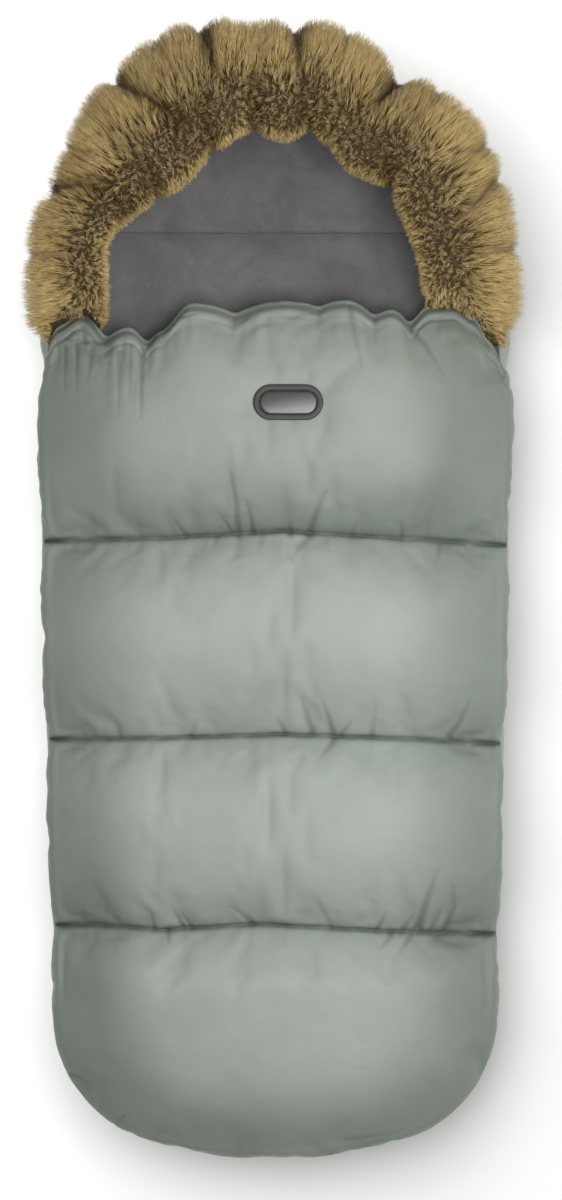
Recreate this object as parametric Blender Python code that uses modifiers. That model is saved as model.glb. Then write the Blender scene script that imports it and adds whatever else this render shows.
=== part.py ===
"""Stroller footmuff, lying flat on its back: padded back with a fur-trimmed hood, a quilted cover
that zips on at both sides and hinges at the foot, and a top flap that folds back over the cover.

Metres. +X is the wearer's left as seen from above, +Y the head end, +Z up from the floor.
"""

import math

import bmesh
import bpy
from mathutils import Matrix, Vector

# Overall plan of the padded body
mouth_half_width = 0.2085      # middle to the zip line, at the mouth
foot_half_width = 0.1925       # the same where the foot's curve starts
mouth_y = 0.225                # the mouth's corners
foot_pole_y = -0.360           # centre of the foot's curve
head_pole_y = 0.336            # centre of the hood's curve, and the lining's cross seam
foot_reach = 0.1495            # foot pole to the zip line at the foot
head_reach = 0.166             # head pole to the hood's wall
foot_roundness = 2.5           # exponents of the two end curves, 2 is an ellipse
head_roundness = 2.2

# Layers
fabric_thickness = 0.0008
fleece_thickness = 0.0020
tape_thickness = 0.0008
gap = 0.0003                   # between touching pieces
seam_gap = 0.0006              # between two pieces sewn edge to edge
merge_distance = 0.00001

# Back: heights over the floor, and how far the padded side stands out past the zip line
pocket_floor_z = 0.036
back_rim_z = 0.041
hood_rim_z = 0.085
rim_rise_start = 0.004         # past the mouth, where the wall starts to rise to the hood's rim
rim_rise_length = 0.060
back_bulge = 0.0145
hood_bulge = 0.005
hood_shoulder_tuck = 0.008
hood_rim_share = 0.85          # of the half width, at the lining's edge in the rim

# Cover: heights over the floor
cover_edge_z = 0.0555
pocket_roof_z = 0.0625
crown_z = 0.105
cover_bulge = 0.0148
pinch_share = 0.29             # height left at a cross seam
hem_pinch_share = 0.30         # and at the hem
seam_ys = (0.051, -0.135, -0.309)
hem_y = 0.258
hem_corner_drop = 0.036
hem_straight_share = 0.6       # of the half width, where the hem starts to curve down

# Zip: both halves stand upright on the zip line
coil_width = 0.0026
coil_height = 0.0034
coil_gap = 0.0010
zip_middle_z = 0.0494
back_tape_height = 0.0056
cover_tape_height = 0.0044
zip_foot_angle = 62            # degrees round the foot from its side to its middle
zip_top_drop = 0.012           # from the mouth's corner down to the zip's top end
stop_length = 0.0035
edge_out = tape_thickness / 2 + gap + fabric_thickness
lining_edge_out = -(tape_thickness / 2 + 2 * gap + fleece_thickness)
lining_turn = 0.0015           # width over which a lining turns up beside the zip
wadding_back_share = 0.7       # of its sheets' last step, left empty at the rim of the back
cover_wadding_back_share = 0.5

# Slider and pull
slider_y = 0.203
slider_length = 0.0090
plate_thickness = 0.0010
plate_clearance = 0.0006
post_thickness = 0.0004
slider_lip = 0.0012
slider_below = 0.0056
slider_above = 0.0056
bridge_height = 0.0020
bridge_bar = 0.0010
bridge_window = 0.0025
bridge_span = 0.0040
pull_thickness = 0.0010
pull_length = 0.0320
pull_width = 0.0070
pull_end_bar = 0.0016
pull_eye_length = 0.0047
pull_eye_width = 0.0032

# Harness slots
slot_length = 0.070
slot_width = 0.016
shoulder_slot_x = 0.078
shoulder_slot_ys = (0.165, 0.085)
crotch_slot_y = -0.115
crotch_slot_length = 0.060
binding_wall = 0.0015
slot_corner = 0.004

# Badge, a pill with a raised rim
badge_x = 0.012
badge_y = 0.174
badge_length = 0.064
badge_width = 0.033
badge_rim = 0.0055
badge_rim_height = 0.0030
badge_plate_height = 0.0018

# Fur trim: a gathered roll on the hood's rim
fur_radius_left = 0.038
fur_radius_right = 0.045
fur_radius_top = 0.053
fur_end_radius = 0.024
fur_flatness_share = 0.64
fur_path_share = 0.86          # of the half width, under the roll's middle
fur_start_y = 0.264
fur_gap = 0.0006
fur_pleats = 9
fur_pleat_share = 0.06
fur_lift = 0.012               # how far ahead the roll looks for the rim's height

# Elastics
elastic_thickness = 0.0012
elastic_width = 0.0060
hood_elastic_height = 0.0030
hood_elastic_drop = 0.0048     # from the hood's rim down to the elastic's lower edge
hood_elastic_start_y = 0.296
hem_elastic_shares = (0.0, 0.3, 0.6, 0.7, 0.78)
hood_casing = fleece_thickness + elastic_thickness + 2 * gap

# Foot hinge
hinge_clearance = 0.0035
strip_top_z = 0.0530
strip_tuck = 0.0008            # how far the strip reaches below the back's rim

# Profiles, from the middle to the rim: shares of the half width, of the bulge and of the height
tray_shares = ((0.0, 0.0, 0.0), (0.45, 0.0, 0.0), (0.84, 0.0, 0.0), (0.955, 0.0, 0.07),
               (1.0, 0.62, 0.27), (1.0, 1.0, 0.55), (1.0, 0.69, 0.83))
hood_shares = ((0.0, 0.0, 0.0), (0.42, 0.0, 0.0), (0.78, 0.0, 0.0), (0.93, 0.0, 0.07),
               (1.0, 0.4, 0.26), (1.0, 1.0, 0.50))
hood_shoulder_share = 0.78
crown_shares = ((0.0, 1.0), (0.35, 0.985), (0.62, 0.93), (0.82, 0.82), (0.96, 0.65))
cover_side_shares = ((0.65, 0.43), (1.0, 0.24), (0.65, 0.08))
flat_bulge_share = 0.6         # bulge left where the cover is flat

# The linings' profiles: shares of the half width and of the rise or fall towards the zip line
tray_lining_shares = ((0.0, 0.0), (0.45, 0.0), (0.80, 0.0), (0.90, 0.2), (0.94, 0.4), (0.965, 0.6))
tray_turn_share = 0.8
hood_lining_shares = ((0.0, 0.0), (0.42, 0.0), (0.66, 0.02), (0.76, 0.12), (0.805, 0.33),
                      (0.825, 0.57), (0.838, 0.80))
roof_shares = ((0.0, 0.0), (0.35, 0.0), (0.62, 0.0), (0.80, 0.04), (0.90, 0.2), (0.94, 0.35),
               (0.965, 0.5))
roof_turn_shares = (0.65, 0.85)

# Where the rows lie, as shares of a puff's length, and angles in degrees round the two ends
toe_row_shares = (0.0, 0.4, 0.75)
puff_row_shares = (0.0, 0.09, 0.25, 0.5, 0.75, 0.91)
flap_low_shares = (0.0, 0.08, 0.22, 0.38)
flap_high_shares = (0.79, 0.89, 0.95, 1.0)
foot_angles = (90, 78, 65, zip_foot_angle, 48, 33, 17)
head_angles = (0, 18, 36, 54, 72, 90)
parts = None
guides = None


def start_scene():
    """Empty the scene and make one collection for the parts and one for the cutters."""
    global parts, guides
    for thing in list(bpy.data.objects):
        bpy.data.objects.remove(thing, do_unlink=True)
    parts = bpy.data.collections.new("stroller_footmuff")
    guides = bpy.data.collections.new("cutters")
    bpy.context.scene.collection.children.link(parts)
    bpy.context.scene.collection.children.link(guides)


def material(name, colour, roughness, metallic=0.0):
    """One Principled material."""
    made = bpy.data.materials.new(name)
    made.use_nodes = True
    shader = made.node_tree.nodes["Principled BSDF"]
    shader.inputs["Base Color"].default_value = (*colour, 1.0)
    shader.inputs["Roughness"].default_value = roughness
    shader.inputs["Metallic"].default_value = metallic
    made.diffuse_color = (*colour, 1.0)
    return made


def add_object(name, mesh, finish):
    """Put a mesh in the scene under its node's name."""
    made = bpy.data.objects.new(name, mesh)
    mesh.materials.append(finish)
    parts.objects.link(made)
    return made


def mesh_from(bm, name):
    mesh = bpy.data.meshes.new(name)
    bm.to_mesh(mesh)
    bm.free()
    return mesh


def half_width(y):
    """Middle to the zip line: a straight taper from the mouth to the foot."""
    share = (y - foot_pole_y) / (mouth_y - foot_pole_y)
    return foot_half_width + share * (mouth_half_width - foot_half_width)


def hem_line(share):
    """The hem's y: straight in the middle, drawn down towards the zips."""
    past = max(0.0, (share - hem_straight_share) / (1 - hem_straight_share))
    return hem_y - hem_corner_drop * min(past, 1.0) ** 2


def plan_point(row, share, out):
    """Where a point lies in plan. A row is a line across the body: ("side", y) straight across,
    ("foot", angle) and ("head", angle) round the ends, or ("flap", share of the flap's length).
    share is the share of the half width, and out a distance past that."""
    kind, place = row
    if kind == "side":
        return share * half_width(place) + out, place
    if kind == "flap":
        y = seam_ys[0] + seam_gap / 2 + place * (hem_line(share) - seam_ys[0] - seam_gap / 2)
        return share * half_width(y) + out, y
    angle = math.radians(place)
    if kind == "foot":
        across = max(math.cos(angle), 0.0) ** (2 / foot_roundness)
        along = math.sin(angle) ** (2 / foot_roundness)
        width = half_width(foot_pole_y)
        return (share * width + out) * across, foot_pole_y - (share * foot_reach + out) * along
    across = max(math.cos(angle), 0.0) ** (2 / head_roundness)
    along = math.sin(angle) ** (2 / head_roundness)
    width = half_width(head_pole_y)
    return (share * width + out) * across, head_pole_y + (share * head_reach + out) * along


def row_y(row):
    """The y of a row where it meets the zip line."""
    return plan_point(row, 1.0, 0.0)[1]


def lay_grid(bm, rows, profile, lift=0.0):
    """Add a grid shaped row by row. profile(row) gives points (share, out, z) from the middle to
    the rim, and both halves use it. lift then moves every point along its normal."""
    columns = len(profile(rows[0])) - 1
    grid = bmesh.ops.create_grid(bm, x_segments=2 * columns, y_segments=len(rows) - 1, size=1)
    verts = grid["verts"]
    for vert in verts:
        column = round(vert.co.x * columns)
        row = rows[round((vert.co.y + 1) / 2 * (len(rows) - 1))]
        share, out, z = profile(row)[abs(column)]
        x, y = plan_point(row, share, out)
        vert.co = (math.copysign(x, column) if column else 0.0, y, z)
    before = set(bm.verts) - set(verts)
    bmesh.ops.remove_doubles(bm, verts=verts, dist=merge_distance)
    bm.normal_update()
    moved = [(vert, vert.normal.copy()) for vert in bm.verts if vert not in before]
    for vert, normal in moved:
        vert.co += normal * lift


def sheet(name, rows, profile, thickness, side, finish):
    """A thin layer on a shaped grid. side 1 thickens it upwards, -1 downwards."""
    bm = bmesh.new()
    lay_grid(bm, rows, profile)
    made = add_object(name, mesh_from(bm, name), finish)
    solid = made.modifiers.new("thickness", "SOLIDIFY")
    solid.thickness = thickness
    solid.offset = side
    return made


def filling(name, rows, low, low_lift, high, high_lift, finish):
    """A solid body between two shaped grids."""
    bm = bmesh.new()
    lay_grid(bm, rows, low, low_lift)
    lay_grid(bm, rows, high, high_lift)
    border = [edge for edge in bm.edges if edge.is_boundary]
    bmesh.ops.bridge_loops(bm, edges=border)
    bmesh.ops.recalc_face_normals(bm, faces=bm.faces)
    return add_object(name, mesh_from(bm, name), finish)


def pulled_back(profile, share):
    """The same profile with its last point moved back by a share of its last step."""
    def shorter(row):
        points = profile(row)
        last = Vector(points[-1]).lerp(Vector(points[-2]), share)
        return points[:-1] + [tuple(last)]
    return shorter


def mix(low, high, share):
    return [tuple(Vector(a).lerp(Vector(b), share)) for a, b in zip(low, high)]


def hood_share(row):
    """0 on the back, 1 on the hood, and smooth between."""
    if row[0] == "head":
        return 1.0
    start = mouth_y + rim_rise_start
    share = min(max((row_y(row) - start) / rim_rise_length, 0.0), 1.0)
    return share * share * (3 - 2 * share)


def rim_height(row):
    return back_rim_z + (hood_rim_z - back_rim_z) * hood_share(row)


def back_outside(row):
    """Outer face of the back and hood: flat on the floor, up round the padded side to the rim."""
    rim = rim_height(row)
    tray = [(share, out * back_bulge, up * rim) for share, out, up in tray_shares]
    tray.append((1.0, edge_out, rim))
    hood = [(share, out * hood_bulge, up * rim) for share, out, up in hood_shares]
    hood.append((1.0, -hood_shoulder_tuck, hood_shoulder_share * rim))
    hood.append((hood_rim_share, hood_casing, rim))
    return mix(tray, hood, hood_share(row))


def back_inside(row):
    """Inner face of the back's lining: the pocket's floor, up to the rim."""
    rim = rim_height(row)
    floor = pocket_floor_z
    rise = rim - floor
    tray = [(share, 0.0, floor + up * rise) for share, up in tray_lining_shares]
    tray.append((1.0, lining_edge_out - lining_turn, floor + tray_turn_share * rise))
    tray.append((1.0, lining_edge_out, rim))
    hood = [(share, 0.0, floor + up * rise) for share, up in hood_lining_shares]
    hood.append((hood_rim_share, 0.0, rim - gap))
    return mix(tray, hood, hood_share(row))


def puff(row):
    """How full the cover is on this row: 1 on a crown, pinch_share on a cross seam."""
    kind, place = row
    if kind == "foot":
        return 1.0
    if kind == "flap":
        full = max(math.sin(math.pi * place), 0.0)
        if place < 0.5:
            return pinch_share + (1 - pinch_share) * full
        return hem_pinch_share + (1 - hem_pinch_share) * math.sqrt(full)
    if place < seam_ys[2]:
        share = (seam_ys[2] - place) / (seam_ys[2] - foot_pole_y) / 2
    elif place < seam_ys[1]:
        share = (place - seam_ys[2]) / (seam_ys[1] - seam_ys[2])
    else:
        share = (place - seam_ys[1]) / (seam_ys[0] - seam_ys[1])
    share = min(max(share, 0.0), 1.0)
    return pinch_share + (1 - pinch_share) * math.sin(math.pi * share)


def cover_outside(row):
    """Outer face of the cover: out from the zip line, round the side and over the crown."""
    full = puff(row)
    rise = (crown_z - cover_edge_z) * full
    points = [(share, 0.0, cover_edge_z + height * rise) for share, height in crown_shares]
    bulge = cover_bulge * (flat_bulge_share + (1 - flat_bulge_share) * full)
    for out_share, height in cover_side_shares:
        points.append((1.0, out_share * bulge, cover_edge_z + height * rise))
    points.append((1.0, edge_out, cover_edge_z))
    return points


def cover_inside(row):
    """Inner face of the cover's lining: the pocket's roof, down to the zip line."""
    drop = pocket_roof_z - cover_edge_z
    turn, edge = roof_turn_shares
    points = [(share, 0.0, pocket_roof_z - fall * drop) for share, fall in roof_shares]
    points.append((1.0, lining_edge_out - lining_turn, pocket_roof_z - turn * drop))
    points.append((1.0, lining_edge_out, pocket_roof_z - edge * drop))
    return points


def side_rows(start, end, steps):
    """Straight rows from y = start to y = end."""
    return [("side", start + (end - start) * step / steps) for step in range(steps + 1)]


def foot_rows():
    return [("foot", angle) for angle in foot_angles]


def head_rows():
    return [("head", angle) for angle in head_angles]


def back_rows():
    """Rows of the back and hood, foot to head, with the lining's cross seam among them."""
    straight = side_rows(foot_pole_y, mouth_y + rim_rise_start, 6)
    rising = side_rows(mouth_y + rim_rise_start, mouth_y + rim_rise_start + rim_rise_length, 4)
    return (foot_rows() + straight + rising[1:]
            + [("side", head_pole_y - seam_gap)] + head_rows())


def cover_rows():
    """Rows of the cover below the first cross seam, closer together beside the seams."""
    rows = foot_rows()
    low, middle, high = seam_ys[2], seam_ys[1], seam_ys[0] - seam_gap / 2
    for share in toe_row_shares:
        rows.append(("side", foot_pole_y + share * (low - foot_pole_y)))
    for start, end in ((low, middle), (middle, high)):
        for share in puff_row_shares:
            rows.append(("side", start + share * (end - start)))
    rows.append(("side", high))
    return rows


def badge_rows():
    """The flap's rows at the badge's two long edges: between them the flap is one slope."""
    start = seam_ys[0] + seam_gap / 2
    return [("flap", (badge_y + side * badge_width / 2 - start) / (hem_y - start))
            for side in (-1, 1)]


def flap_rows():
    """Rows of the top flap; the last stretch is the hem's casing."""
    low = [("flap", share) for share in flap_low_shares]
    high = [("flap", share) for share in flap_high_shares]
    return low + badge_rows() + high


def upright_strip(bm, rows, side, low_z, high_z):
    """A standing strip along the zip line, one point low and one high on each row."""
    grid = bmesh.ops.create_grid(bm, x_segments=1, y_segments=len(rows) - 1, size=1)
    for vert in grid["verts"]:
        row = rows[round((vert.co.y + 1) / 2 * (len(rows) - 1))]
        x, y = plan_point(row, 1.0, 0.0)
        vert.co = (side * x, y, low_z if vert.co.x < 0 else high_z)


def zip_strip(name, rows, side, low_z, high_z, thickness, finish):
    bm = bmesh.new()
    upright_strip(bm, rows, side, low_z, high_z)
    made = add_object(name, mesh_from(bm, name), finish)
    solid = made.modifiers.new("thickness", "SOLIDIFY")
    solid.thickness = thickness
    solid.offset = 0
    return made


def zip_rows(start, end):
    """Rows for a stretch of zip: straight between two ys, and round the foot if start is None."""
    if start is not None:
        return side_rows(start, end, 1)
    turn = [row for row in foot_rows() if row[1] <= zip_foot_angle]
    return turn + side_rows(foot_pole_y, end, 1)


def outline_curve(name, loops, depth):
    """A flat outline with its holes, as a mesh of the given depth, centred on its own plane."""
    curve = bpy.data.curves.new(name, "CURVE")
    curve.dimensions = "2D"
    curve.fill_mode = "BOTH"
    curve.extrude = depth / 2
    for loop in loops:
        spline = curve.splines.new("POLY")
        spline.points.add(len(loop) - 1)
        for point, (x, y) in zip(spline.points, loop):
            point.co = (x, y, 0.0, 1.0)
        spline.use_cyclic_u = True
    temporary = bpy.data.objects.new(name, curve)
    bpy.context.scene.collection.objects.link(temporary)
    seen = temporary.evaluated_get(bpy.context.evaluated_depsgraph_get())
    mesh = bpy.data.meshes.new_from_object(seen)
    bpy.data.objects.remove(temporary, do_unlink=True)
    bpy.data.curves.remove(curve)
    bm = bmesh.new()
    bm.from_mesh(mesh)
    bmesh.ops.remove_doubles(bm, verts=bm.verts, dist=merge_distance)
    bmesh.ops.recalc_face_normals(bm, faces=bm.faces)
    bm.to_mesh(mesh)
    bm.free()
    return mesh


def rounded_loop(length, width, corner, steps):
    """A rectangle with round corners, or a pill where the corner is half the width."""
    loop = []
    for quarter in range(4):
        along = 1 if quarter in (0, 3) else -1
        across = 1 if quarter in (0, 1) else -1
        for step in range(steps + 1):
            angle = math.pi / 2 * (quarter + step / steps)
            loop.append((along * (length / 2 - corner) + corner * math.cos(angle),
                         across * (width / 2 - corner) + corner * math.sin(angle)))
    return loop


def box_loop(low_x, low_y, high_x, high_y):
    return [(low_x, low_y), (high_x, low_y), (high_x, high_y), (low_x, high_y)]


def slot_places():
    """Name, centre and length of each harness slot."""
    places = [(level + "_" + word, side * shoulder_slot_x, y, slot_length)
              for level, y in zip(("upper", "lower"), shoulder_slot_ys)
              for word, side in (("left", -1), ("right", 1))]
    places.append(("crotch", 0.0, crotch_slot_y, crotch_slot_length))
    return places


def slot_cutter():
    """One cutter object with a block for every harness slot."""
    bm = bmesh.new()
    for _, x, y, length in slot_places():
        size = Vector((length + 2 * gap, slot_width + 2 * gap, 2 * hood_rim_z))
        bmesh.ops.create_cube(bm, size=1, matrix=Matrix.LocRotScale(Vector((x, y, 0)), None, size))
    cutter = bpy.data.objects.new("slot_cutter", mesh_from(bm, "slot_cutter"))
    guides.objects.link(cutter)
    cutter.hide_render = True
    cutter.display_type = "WIRE"
    return cutter


def cut(target, cutter):
    boolean = target.modifiers.new("slots", "BOOLEAN")
    boolean.operation = "DIFFERENCE"
    boolean.object = cutter
    return target


def make_back(finish):
    """Outer fabric, wadding and lining of the back and hood, with the harness slots."""
    cutter = slot_cutter()
    rows = back_rows()
    first_head = rows.index(("head", 0))
    inside = pulled_back(back_inside, wadding_back_share)
    outside = pulled_back(back_outside, wadding_back_share)
    lining_lift = -(fleece_thickness + gap)
    cut(sheet("back_outer_fabric", rows, back_outside, fabric_thickness, 1, finish["sage"]), cutter)
    cut(filling("back_wadding", rows, outside, fabric_thickness + gap, inside, lining_lift,
                finish["wadding"]), cutter)
    cut(sheet("back_lining", rows[:first_head], back_inside, fleece_thickness, -1,
              finish["fleece"]), cutter)
    sheet("hood_lining", rows[first_head:], back_inside, fleece_thickness, -1, finish["fleece"])


def make_slot_bindings(finish):
    """A bound edge through all layers in every harness slot."""
    height = pocket_floor_z - 2 * gap
    for word, x, y, length in slot_places():
        name = "slot_binding_" + word
        outer = rounded_loop(length, slot_width, slot_corner, 1)
        inner = rounded_loop(length - 2 * binding_wall, slot_width - 2 * binding_wall,
                             slot_corner - binding_wall, 1)
        ring = outline_curve(name, [outer, inner], height)
        ring.transform(Matrix.Translation((x, y, gap + height / 2)))
        add_object(name, ring, finish["trim"])


def hood_elastic(finish):
    """Flat elastic in the hood's rim casing, between fabric and lining."""
    rows = side_rows(hood_elastic_start_y, head_pole_y, 1)[:-1] + head_rows()
    low = hood_rim_z - hood_elastic_drop
    out = gap + fleece_thickness + elastic_thickness / 2
    bm = bmesh.new()
    for side in (-1, 1):
        grid = bmesh.ops.create_grid(bm, x_segments=1, y_segments=len(rows) - 1, size=1)
        for vert in grid["verts"]:
            row = rows[round((vert.co.y + 1) / 2 * (len(rows) - 1))]
            x, y = plan_point(row, hood_rim_share, out)
            vert.co = (side * x, y, low if vert.co.x * side > 0 else low + hood_elastic_height)
    bmesh.ops.remove_doubles(bm, verts=bm.verts, dist=merge_distance)
    made = add_object("hood_rim_elastic", mesh_from(bm, "hood_rim_elastic"), finish["elastic"])
    solid = made.modifiers.new("thickness", "SOLIDIFY")
    solid.thickness = elastic_thickness
    solid.offset = 0
    return made


def fur_trim(finish):
    """A gathered roll of pile fabric along the hood's rim, laid from the left end over the head to
    the right end. It is a round tube, flattened, that rests on the rim."""
    left = [("side", fur_start_y + (head_pole_y - fur_start_y) * step / 3) for step in range(3)]
    turn = [("head", 90.0 * step / 8) for step in range(9)]
    path = [(-1, row) for row in left + turn[:-1]] + [(1, row) for row in reversed(left + turn)]
    curve = bpy.data.curves.new("fur", "CURVE")
    curve.dimensions = "3D"
    curve.bevel_depth = 1.0
    curve.bevel_resolution = 2
    curve.use_fill_caps = True
    spline = curve.splines.new("POLY")
    spline.points.add(len(path) - 1)
    for index, (side, row) in enumerate(path):
        x, y = plan_point(row, fur_path_share, 0.0)
        across = x / half_width(head_pole_y) / fur_path_share
        broad = fur_radius_left if side < 0 else fur_radius_right
        radius = fur_radius_top + (broad - fur_radius_top) * min(across, 1.0) ** 2
        if row[0] == "side":
            share = (row[1] - fur_start_y) / (head_pole_y - fur_start_y)
            radius = fur_end_radius + (radius - fur_end_radius) * math.sin(math.pi / 2 * share)
        wave = math.cos(2 * math.pi * fur_pleats * index / (len(path) - 1))
        radius *= 1 + fur_pleat_share * wave
        look = (row[0], row[1] + fur_lift) if row[0] == "side" else row
        z = (rim_height(look) + fur_gap) / fur_flatness_share + radius
        spline.points[index].co = (side * x, y, z, 1.0)
        spline.points[index].radius = radius
    temporary = bpy.data.objects.new("fur", curve)
    bpy.context.scene.collection.objects.link(temporary)
    seen = temporary.evaluated_get(bpy.context.evaluated_depsgraph_get())
    mesh = bpy.data.meshes.new_from_object(seen)
    bpy.data.objects.remove(temporary, do_unlink=True)
    mesh.transform(Matrix.Diagonal((1.0, 1.0, fur_flatness_share, 1.0)))
    bm = bmesh.new()
    bm.from_mesh(mesh)
    bmesh.ops.remove_doubles(bm, verts=bm.verts, dist=merge_distance)
    bmesh.ops.recalc_face_normals(bm, faces=bm.faces)
    bm.to_mesh(mesh)
    bm.free()
    mesh.materials.clear()
    return add_object("fur_trim", mesh, finish["fur"])


def make_zips(finish, cover_empty, flap_empty):
    """Tapes and coils of both zips: the back's halves, the cover's and the flap's."""
    half_gap = coil_gap / 2
    back_coil = (zip_middle_z - half_gap - coil_height, zip_middle_z - half_gap)
    cover_coil = (zip_middle_z + half_gap, zip_middle_z + half_gap + coil_height)
    back_tape = (back_coil[0] - gap - back_tape_height, back_coil[0] - gap)
    cover_tape = (cover_coil[1] + gap, cover_coil[1] + gap + cover_tape_height)
    stop_end = mouth_y - zip_top_drop
    coil_end = stop_end - stop_length - gap
    flap_start = seam_ys[0] + seam_gap / 2
    cover_end = seam_ys[0] - seam_gap / 2
    for side, word in ((-1, "left"), (1, "right")):
        zip_strip("back_zip_tape_" + word, zip_rows(None, stop_end), side, *back_tape,
                  tape_thickness, finish["tape"])
        zip_strip("back_zip_coil_" + word, zip_rows(None, coil_end), side, *back_coil,
                  coil_width, finish["coil"])
        lower = [zip_strip("cover_zip_tape_" + word, zip_rows(None, cover_end), side, *cover_tape,
                           tape_thickness, finish["tape"]),
                 zip_strip("cover_zip_coil_" + word, zip_rows(None, cover_end), side, *cover_coil,
                           coil_width, finish["coil"])]
        upper = [zip_strip("flap_zip_tape_" + word, zip_rows(flap_start, coil_end), side,
                           *cover_tape, tape_thickness, finish["tape"]),
                 zip_strip("flap_zip_coil_" + word, zip_rows(flap_start, coil_end), side,
                           *cover_coil, coil_width, finish["coil"])]
        carry(lower, cover_empty)
        carry(upper, flap_empty)
        stop_y = coil_end + gap + stop_length / 2
        place = Vector((side * half_width(stop_y), stop_y, (back_coil[0] + back_coil[1]) / 2))
        size = Vector((coil_width + 2 * gap, stop_length, coil_height))
        bm = bmesh.new()
        bmesh.ops.create_cube(bm, size=1, matrix=Matrix.LocRotScale(place, None, size))
        name = "zip_top_stop_" + word
        add_object(name, mesh_from(bm, name), finish["metal"])


def foot_hinge_strip(finish):
    """The fabric left whole between the two zips at the foot, where the cover swings."""
    right = [row for row in reversed(foot_rows()) if row[1] > zip_foot_angle]
    path = [(-1, row) for row in right[:-1]] + [(1, row) for row in reversed(right)]
    low = back_rim_z - strip_tuck
    bm = bmesh.new()
    grid = bmesh.ops.create_grid(bm, x_segments=1, y_segments=len(path) - 1, size=1)
    for vert in grid["verts"]:
        side, row = path[round((vert.co.y + 1) / 2 * (len(path) - 1))]
        x, y = plan_point(row, 1.0, 0.0)
        vert.co = (side * x, y, low if vert.co.x < 0 else strip_top_z)
    made = add_object("foot_hinge_strip", mesh_from(bm, "foot_hinge_strip"), finish["trim"])
    solid = made.modifiers.new("thickness", "SOLIDIFY")
    solid.thickness = tape_thickness
    solid.offset = 0


def empty_at(name, place, turn=0.0):
    """An empty on a joint's axis, which carries that joint's pieces."""
    made = bpy.data.objects.new(name, None)
    made.location = place
    made.rotation_euler = (0.0, 0.0, turn)
    parts.objects.link(made)
    return made


def carry(pieces, empty):
    """Parent pieces to an empty and leave them where they are."""
    at = Matrix.LocRotScale(empty.location, empty.rotation_euler, None)
    for piece in pieces:
        piece.parent = empty
        piece.matrix_parent_inverse = at.inverted()


def make_cover(finish, empty):
    """The three lower puffs: outer fabric, wadding and lining."""
    rows = cover_rows()
    shell = sheet("cover_outer_fabric", rows, cover_outside, fabric_thickness, -1, finish["sage"])
    pad = filling("cover_wadding", rows, pulled_back(cover_inside, cover_wadding_back_share),
                  fleece_thickness + gap, pulled_back(cover_outside, cover_wadding_back_share),
                  -(fabric_thickness + gap), finish["wadding"])
    lining = sheet("cover_lining", rows, cover_inside, fleece_thickness, 1, finish["fleece"])
    carry([shell, pad, lining], empty)


def make_flap(finish, empty):
    """The top puff with its hem and elastic."""
    rows = flap_rows()
    shell = sheet("flap_outer_fabric", rows, cover_outside, fabric_thickness, -1, finish["sage"])
    pad = filling("flap_wadding", rows[:-1], pulled_back(cover_inside, cover_wadding_back_share),
                  fleece_thickness + gap, pulled_back(cover_outside, cover_wadding_back_share),
                  -(fabric_thickness + gap), finish["wadding"])
    lining = sheet("flap_lining", rows, cover_inside, fleece_thickness, 1, finish["fleece"])
    length = hem_y - seam_ys[0]
    band_rows = [("flap", 1 - (elastic_width + gap) / length), ("flap", 1 - gap / length)]

    def band(row):
        z = pocket_roof_z + fleece_thickness + gap
        return [(share, 0.0, z) for share in hem_elastic_shares]
    elastic = sheet("hem_elastic", band_rows, band, elastic_thickness, 1, finish["elastic"])
    carry([shell, pad, lining, elastic], empty)


def badge_seat():
    """The flap's slope under the badge, as a turn about X, and its height in the middle."""
    low, high = [cover_outside(row)[0][2] for row in badge_rows()]
    return math.atan2(high - low, badge_width), (low + high) / 2


def make_badge(finish, empty):
    """A blank pill-shaped plate in a dark rim, on top of the flap."""
    tilt, height = badge_seat()
    seat = Matrix.Translation((badge_x, badge_y, height)) @ Matrix.Rotation(tilt, 4, "X")
    outer = rounded_loop(badge_length, badge_width, badge_width / 2, 6)
    length = badge_length - 2 * badge_rim
    width = badge_width - 2 * badge_rim
    inner = rounded_loop(length, width, width / 2, 6)
    ring = outline_curve("badge_frame", [outer, inner], badge_rim_height)
    ring.transform(seat @ Matrix.Translation((0, 0, gap + badge_rim_height / 2)))
    frame = add_object("badge_frame", ring, finish["rim"])
    filled = rounded_loop(length - 2 * gap, width - 2 * gap, width / 2 - gap, 6)
    face = outline_curve("badge_plate", [filled], badge_plate_height)
    face.transform(seat @ Matrix.Translation((0, 0, gap + badge_plate_height / 2)))
    plate = add_object("badge_plate", face, finish["metal"])
    carry([frame, plate], empty)


def zip_lean():
    """Angle of the zip line in plan, from the straight taper."""
    return math.atan2(mouth_half_width - foot_half_width, mouth_y - foot_pole_y)


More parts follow.
